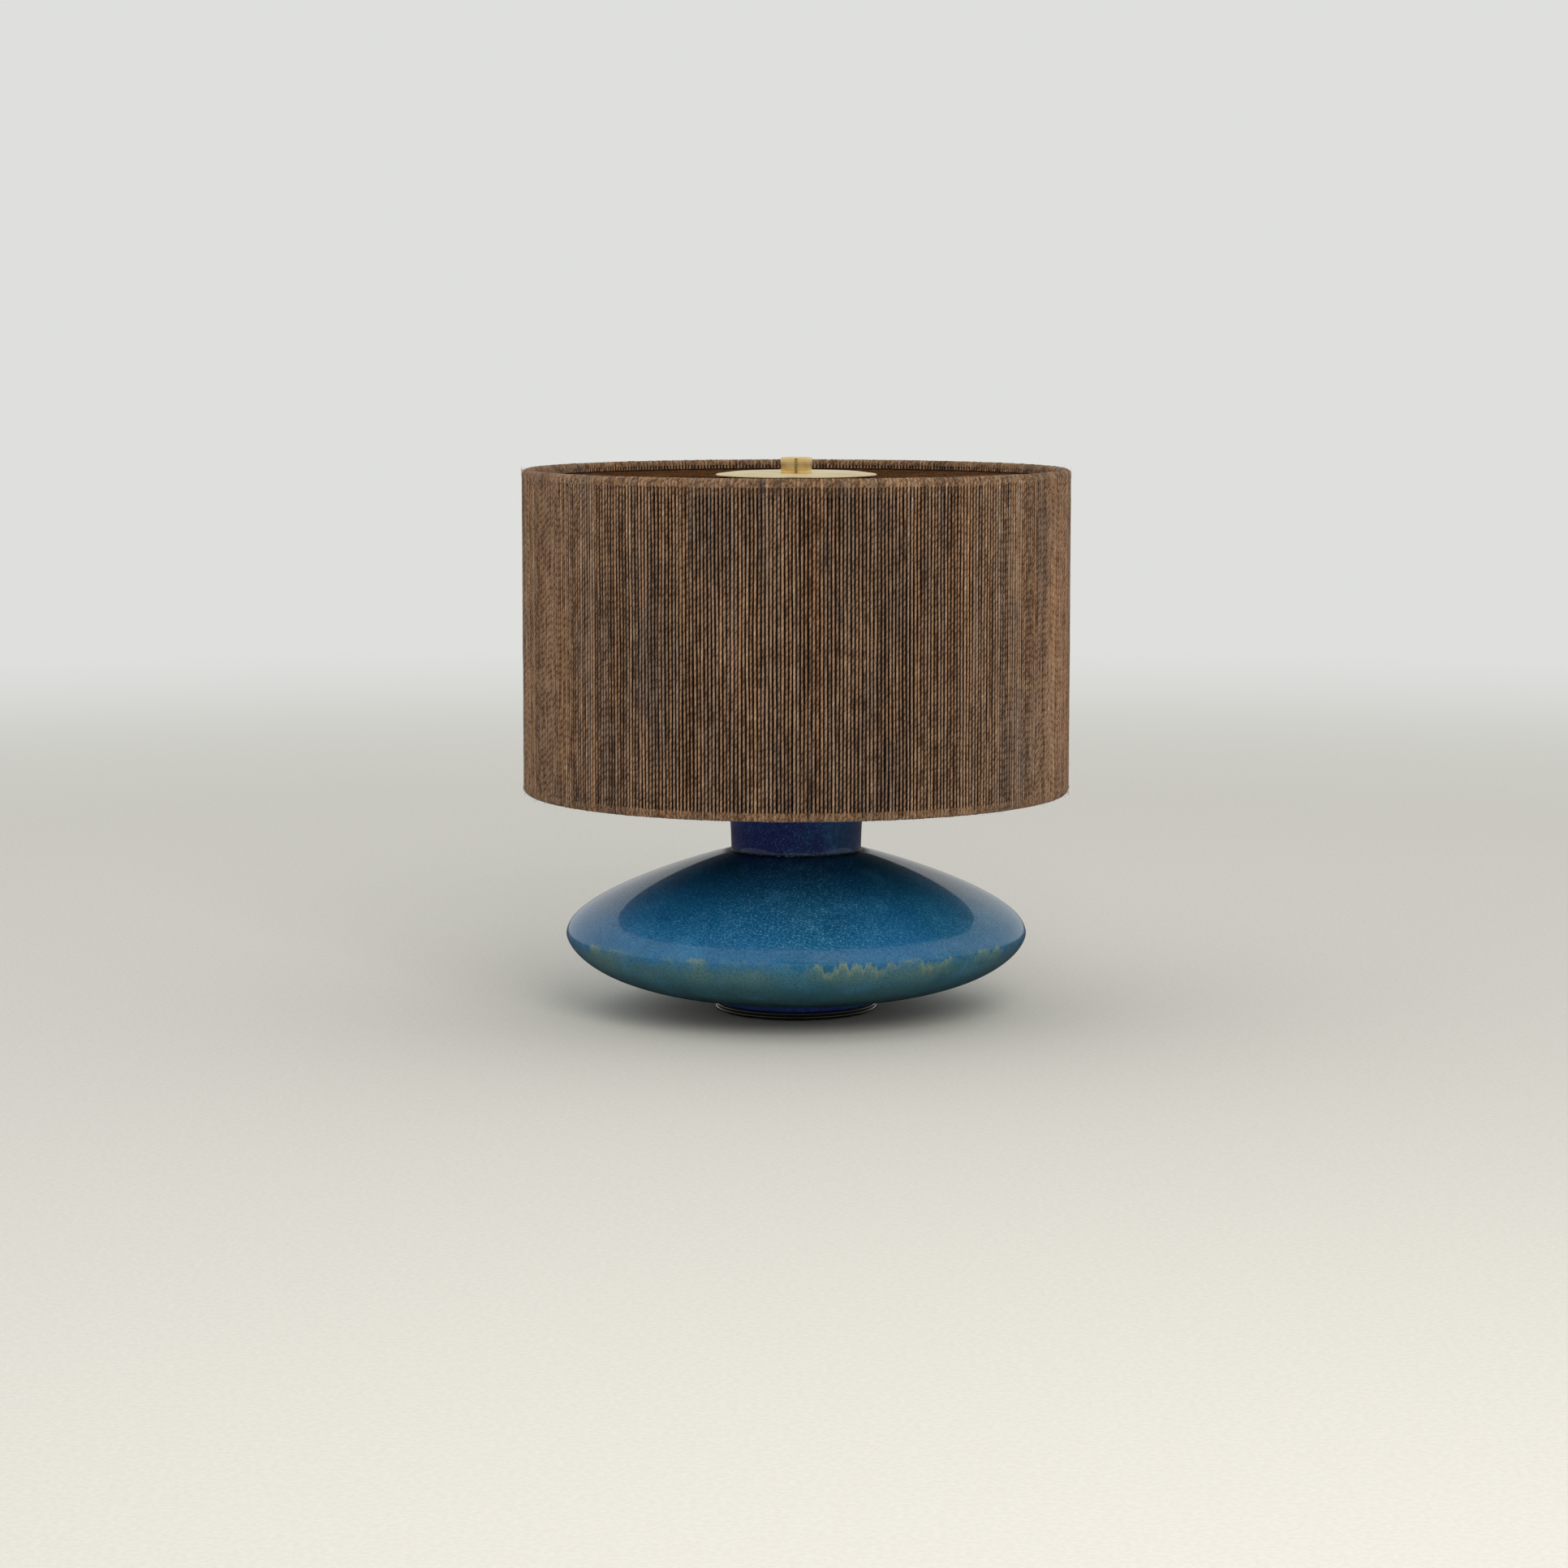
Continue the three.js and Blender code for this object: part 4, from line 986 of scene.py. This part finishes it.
def laid(name, path, turns, lean, swell, half_width, half_depth, finish, nodes=()):
    """Strands side by side along one path, which is given as (radius, height) points."""
    path = np.array(path)
    run = np.gradient(path, axis=0)
    run /= np.linalg.norm(run, axis=1)[:, None]
    radius, height = path[:, 0], path[:, 1]
    count, rows = lean.shape
    angle = turns[:, None] + lean / radius.max()
    lift = wander(count, rows, max(4, rows // 5), 0.10 * MM)
    away = radius + lift * run[:, 1]
    level = height - lift * run[:, 0]
    outward, sideways, upward = directions(angle)
    centres = outward * away[:, :, None] + upward * level[:, :, None]
    facing = outward * run[None, :, 1:] - upward * run[None, :, :1]
    depths = half_depth * (0.8 + 0.2 * swell)
    mesh = strands_mesh(name, centres, sideways, facing, half_width * swell, depths, rng.random(count))
    return hand_over(name, mesh, finish, "shade", nodes)


def wall_path(rows):
    top = over_rim(TOP, 1, PANEL_TOP + 0.5 * MM, TOP - RIM_TURN)
    bottom = over_rim(BOTTOM, -1, BOTTOM + BOTTOM_HEM, BOTTOM + RIM_TURN)
    wall = [(WALL_RADIUS, height) for height in np.linspace(bottom[0][1], top[0][1], rows)]
    return bottom[:0:-1] + wall + top[1:]


def crowded(path):
    """How much wider the strands are at the rims, where they touch: 1 on the wall and inside the lip."""
    radius, height = np.array(path).T
    climb = 2.5 * MM
    top = np.clip((height - (TOP - RIM_TURN)) / climb, 0, 1)
    bottom = np.clip(((BOTTOM + 5 * MM) - height) / climb, 0, 1)
    inside = (radius < LIP_RADIUS + 1 * MM) & (height < TOP - climb)
    return 1 + 0.75 * np.where(inside, 0, np.maximum(top, bottom))


def wall_layer():
    """The outer layer: every second strand goes into the second piece, to keep each piece small."""
    path = wall_path(48)
    count, rows = round(math.tau * WALL_RADIUS / PITCH), len(path)
    turns = np.arange(count) * math.tau / count
    lean = wander(count, rows, 12, 0.14 * MM) + shared(count, rows, count // 4, 5, 0.24 * MM)
    swell = 0.95 + wander(count, rows, rows, 0.08) + shared(count, rows, count // 3, 5, 0.08)
    swell = np.clip(swell, 0.66, 1.5) * crowded(path)
    for half, name in enumerate(("upright_twine_a", "upright_twine_b")):
        laid(name, path, turns[half::2], lean[half::2], swell[half::2], HALF_WIDTH, HALF_DEPTH,
             outer_twine_finish, [] if half else ["outer_twine"])
    return count


def inner_layer():
    rows = 16
    low, high = BOTTOM + LAYER_INSET, PANEL_TOP - 1 * MM
    path = [(LAYERS_MIDDLE, height) for height in np.linspace(low, high, rows)]
    count = round(math.tau * INSIDE / INNER_PITCH)
    turns = np.arange(count) * math.tau / count
    lean = wander(count, rows, 6, 0.12 * MM)
    swell = np.clip(1 + wander(count, rows, rows, 0.07), 0.85, 1.3)
    laid("inner_upright_twine", path, turns, lean, swell, 1.95 * MM, 1.1 * MM, shaded_inner_twine_finish,
         ["inner_twine"])


print("strands in the outer layer:", wall_layer())
inner_layer()

# %% [markdown]
# ## Lining and binding
#
# Between its two layers the shade gets a thin dark lining, so that nothing shows through where both layers
# part; its dark colour is painted shade, standing in for the shadow between the layers. A strip of cloth binds
# each rim where the strands turn over. More strands could close the gaps too, but a thin ring of cloth does it
# with few faces. Each ring is turned from a four-sided section.

# %% Lining between the layers, and the binding of the rims
PANEL_LINING_BORE = 26 * MM  # hidden under the brass disc


def band(name, inside, outside, low, high, edge, finish):
    """A ring of cloth with a four-sided section."""
    section = [(inside, low), (outside, low), (outside, high), (inside, high), (inside, low)]
    mesh = turned_mesh(name, eased(section, edge), 256)
    return hand_over(name, mesh, finish, "shade")


def linings():
    outer = LAYERS_MIDDLE + 0.2 * MM
    band("dark_lining", LAYERS_MIDDLE, outer, BOTTOM + LAYER_INSET, PANEL_TOP, 0.05 * MM, lining_painted_dark)
    inside, outside = LIP_RADIUS + 0.8 * MM, WALL_RADIUS - 0.7 * MM
    band("top_binding", inside, outside, PANEL_TOP - 6 * MM, TOP - 1.6 * MM, 2 * MM, binding)
    band("bottom_binding", inside, outside, BOTTOM + 1.6 * MM, BOTTOM + RIM_TURN, 2 * MM, binding)
    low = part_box("top_panel")[0].z
    band("panel_lining", PANEL_LINING_BORE, LAYERS_MIDDLE, low, low + 0.3 * MM, 0.1 * MM, lining_painted_dark)


linings()
print("faces so far", sum(pieces_made.values()))

# %% [markdown]
# ## Rims and top panel
#
# At both rims the strands turn over the wire and go down the inside. There they are pushed together, and
# short extra wraps fill the gaps, so the rim reads as a matted band without dark lines. The extra wraps lean
# to one side or the other. The panel inside the top rim is twine laid
# outwards from the middle; as the circle grows, more strands start between the others.

# %% Matted rims


def rim_wraps(name, end, side, inside_end):
    path = over_rim(end, side, inside_end, end - side * 8 * MM)
    count, rows = round(math.tau * WALL_RADIUS / PITCH), len(path)
    turns = (np.arange(count) + 0.5) * math.tau / count
    lean = wander(count, rows, 2, 0.9 * MM) + wander(count, rows, 6, 0.25 * MM)
    swell = np.clip(1.05 + wander(count, rows, rows, 0.16), 0.7, 1.7)
    if side < 0:
        path, lean, swell = path[::-1], lean[:, ::-1], swell[:, ::-1]
    laid(name, path, turns, lean, swell, HALF_WIDTH * 1.3, HALF_DEPTH, rim_twine_finish)


rim_wraps("top_rim_wraps", TOP, 1, TOP - 5.2 * MM)
rim_wraps("bottom_rim_wraps", BOTTOM, -1, BOTTOM + BOTTOM_HEM)
print("top rim wraps", pieces_made["top_rim_wraps"], "faces")

# %% Panel of radial strands


def top_panel():
    low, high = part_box("top_panel")
    middle = (low.z + high.z) / 2
    inside = bore_of("top_panel")
    outside = INNER_OUTSIDE - 0.5 * MM
    count, rows = 8 * round(math.tau * outside / INNER_PITCH / 8), 16
    starts = []
    for number in range(count):
        crowding = 1 if number % 2 else 2 if number % 4 else 4 if number % 8 else 8
        starts.append(inside if crowding == 8 else max(inside, outside / crowding / 2 - 4 * MM))
    first = np.array(starts)[:, None]
    reach = first + (outside - first) * np.linspace(0, 1, rows)[None, :]
    turns = np.arange(count) * math.tau / count
    outward, sideways, upward = directions(turns[:, None] + wander(count, rows, 8, 0.35 * MM) / reach)
    level = middle + wander(count, rows, 8, 0.15 * MM)
    centres = outward * reach[:, :, None] + upward * level[:, :, None]
    swell = np.clip(1 + wander(count, rows, rows, 0.12), 0.7, 1.4)
    tones = rng.random(count)
    mesh = strands_mesh("panel_twine", centres, sideways, upward, 1.9 * MM * swell, 1.2 * MM * swell, tones)
    return hand_over("panel_twine", mesh, panel_twine_finish, "shade", ["top_panel"])


top_panel()
print("panel", pieces_made["panel_twine"], "faces")

# %% [markdown]
# ## Stray fibres
#
# Twine sheds. Short hairs stand off the wall and, above all, off the rims, and they soften the outline of the
# shade against a pale wall. Each is a thin curved tube with three sides.

# %% Stray fibres


def stray_fibres(name, count, levels, longest, stand):
    """Hairs that start on the outside at random places and curl away from the surface."""
    rows = 5
    angle = rng.random(count) * math.tau
    start = levels[rng.integers(0, len(levels), count)] + rng.normal(0, 1.2 * MM, count)
    start = np.clip(start, BOTTOM + 1 * MM, TOP - 1 * MM)
    length = longest * (0.35 + 0.65 * rng.random(count))
    heading = rng.random(count) * math.tau
    curl = rng.normal(0, 1.0, count)
    at = np.linspace(0, 1, rows)[None, :]
    turn = heading[:, None] + curl[:, None] * at
    slide = np.cos(turn) * length[:, None] * at
    climb = np.sin(turn) * length[:, None] * at * 0.7
    lift = stand * (1 - (1 - at) ** 2) * (0.3 + rng.random(count))[:, None]
    outward, sideways, upward = directions(angle[:, None] + slide / OUTSIDE)
    away = OUTSIDE - 0.5 * MM + lift
    centres = outward * away[:, :, None] + upward * (start[:, None] + climb)[:, :, None]
    thin = 0.10 * MM * (1.1 - at) * np.ones((count, 1))
    mesh = strands_mesh(name, centres, upward, outward, thin, thin, 0.5 + 0.5 * rng.random(count), 3)
    return hand_over(name, mesh, rim_twine_finish, "shade")


rim_levels = np.array([TOP - 2 * MM, TOP - 5 * MM, BOTTOM + 2 * MM, BOTTOM + 5 * MM])
stray_fibres("rim_fibres", 1500, rim_levels, 7 * MM, 1.0 * MM)
stray_fibres("wall_fibres", 1800, np.linspace(BOTTOM + 8 * MM, TOP - 8 * MM, 200), 7 * MM, 0.7 * MM)
print("fibres", pieces_made["rim_fibres"] + pieces_made["wall_fibres"], "faces")

# %% [markdown]
# ## Studio
#
# A pale floor runs out until it takes the colour of the air around, so there is no horizon line. The air
# itself gives even light from everywhere. One large soft light at the front right and a weaker one at the
# left shape the lamp. Glossy glaze also needs something dark to reflect, so a narrow dark card stands in
# front and a wide brown one lies on the floor. Only reflections see them.

# %% Floor, air and lights
AIR = paint("dfe0dd")
LAMP_MIDDLE = (0, 0, 0.25)


def floor():
    outline = [Vector((r, -0.4 * MM)) for r in (0.0, 0.3, 0.6, 1.0, 1.6, 2.4, 4.0, 8.0, 30.0)]
    mesh = turned_mesh("floor", outline, 96)
    ground = Finish("pale_floor", specular_ior_level=0.0)
    place = ground.place()
    grain = ground.noise(place, 260, 3)
    ground.colour(ground.ramp(grain, [(0.3, "dcdad5"), (0.7, "e2e0db")]))
    ground.roughness(0.85)
    fade = ground.vector("LENGTH", place).step(1.6, 4.5)
    air = ground.node("ShaderNodeEmission", inputs={"Color": AIR, "Strength": 1.0})
    surface = Amount(ground, ground.shader.outputs[0])
    both = ground.node("ShaderNodeMixShader", inputs={0: fade, 1: surface, 2: air})
    ground.feed(ground.tree.nodes["Material Output"].inputs["Surface"], both)
    piece = placed("floor", mesh)
    mesh.materials.append(ground.material)
    return piece


def air():
    world = bpy.data.worlds.new("air")
    world.use_nodes = True
    light = world.node_tree.nodes["Background"].inputs
    light["Color"].default_value = AIR
    light["Strength"].default_value = 1.0
    bpy.context.scene.world = world


def soft_light(name, place, target, width, power, tint):
    lamp = bpy.data.lights.new(name, "AREA")
    lamp.size = width
    lamp.energy = power
    lamp.color = paint(tint)[:3]
    light = placed(name, lamp)
    light.location = place
    light.visible_glossy = False
    light.rotation_euler = (Vector(target) - Vector(place)).to_track_quat("-Z", "Y").to_euler()
    return light


def dark_card(name, low, high, tone):
    """A card between two corners that only reflections see."""
    (left, near, bottom), (right, far, top) = low, high
    corners = [(left, near, bottom), (right, near, bottom), (right, far, top), (left, far, top)]
    mesh = mesh_of(name, corners, [(0, 1, 2, 3)])
    black = Finish(name, base_color=paint(tone), roughness=1.0, specular_ior_level=0.0)
    mesh.materials.append(black.material)
    card_object = placed(name, mesh)
    card_object.visible_camera = False
    card_object.visible_diffuse = False
    card_object.visible_shadow = False
    return card_object


floor()
air()
bpy.context.scene.view_settings.view_transform = "Standard"
soft_light("key", (0.6, -2.8, 1.9), LAMP_MIDDLE, 1.4, 34, "fff8ee")
soft_light("fill", (-2.4, -1.4, 1.5), LAMP_MIDDLE, 1.6, 2, "eef3ff")
dark_card("front_card", (-0.6, -2.9, 0.55), (0.4, -2.9, 4.5), "1c1a18")
dark_card("floor_card", (-1.6, -2.6, 0.2 * MM), (1.6, 1.4, 0.2 * MM), "4f3d38")
print("studio ready")

# %% [markdown]
# ## Faces in all
#
# The last cell prints how many faces the pieces have in all.

# %% Count the faces
print("faces in all", sum(pieces_made.values()))
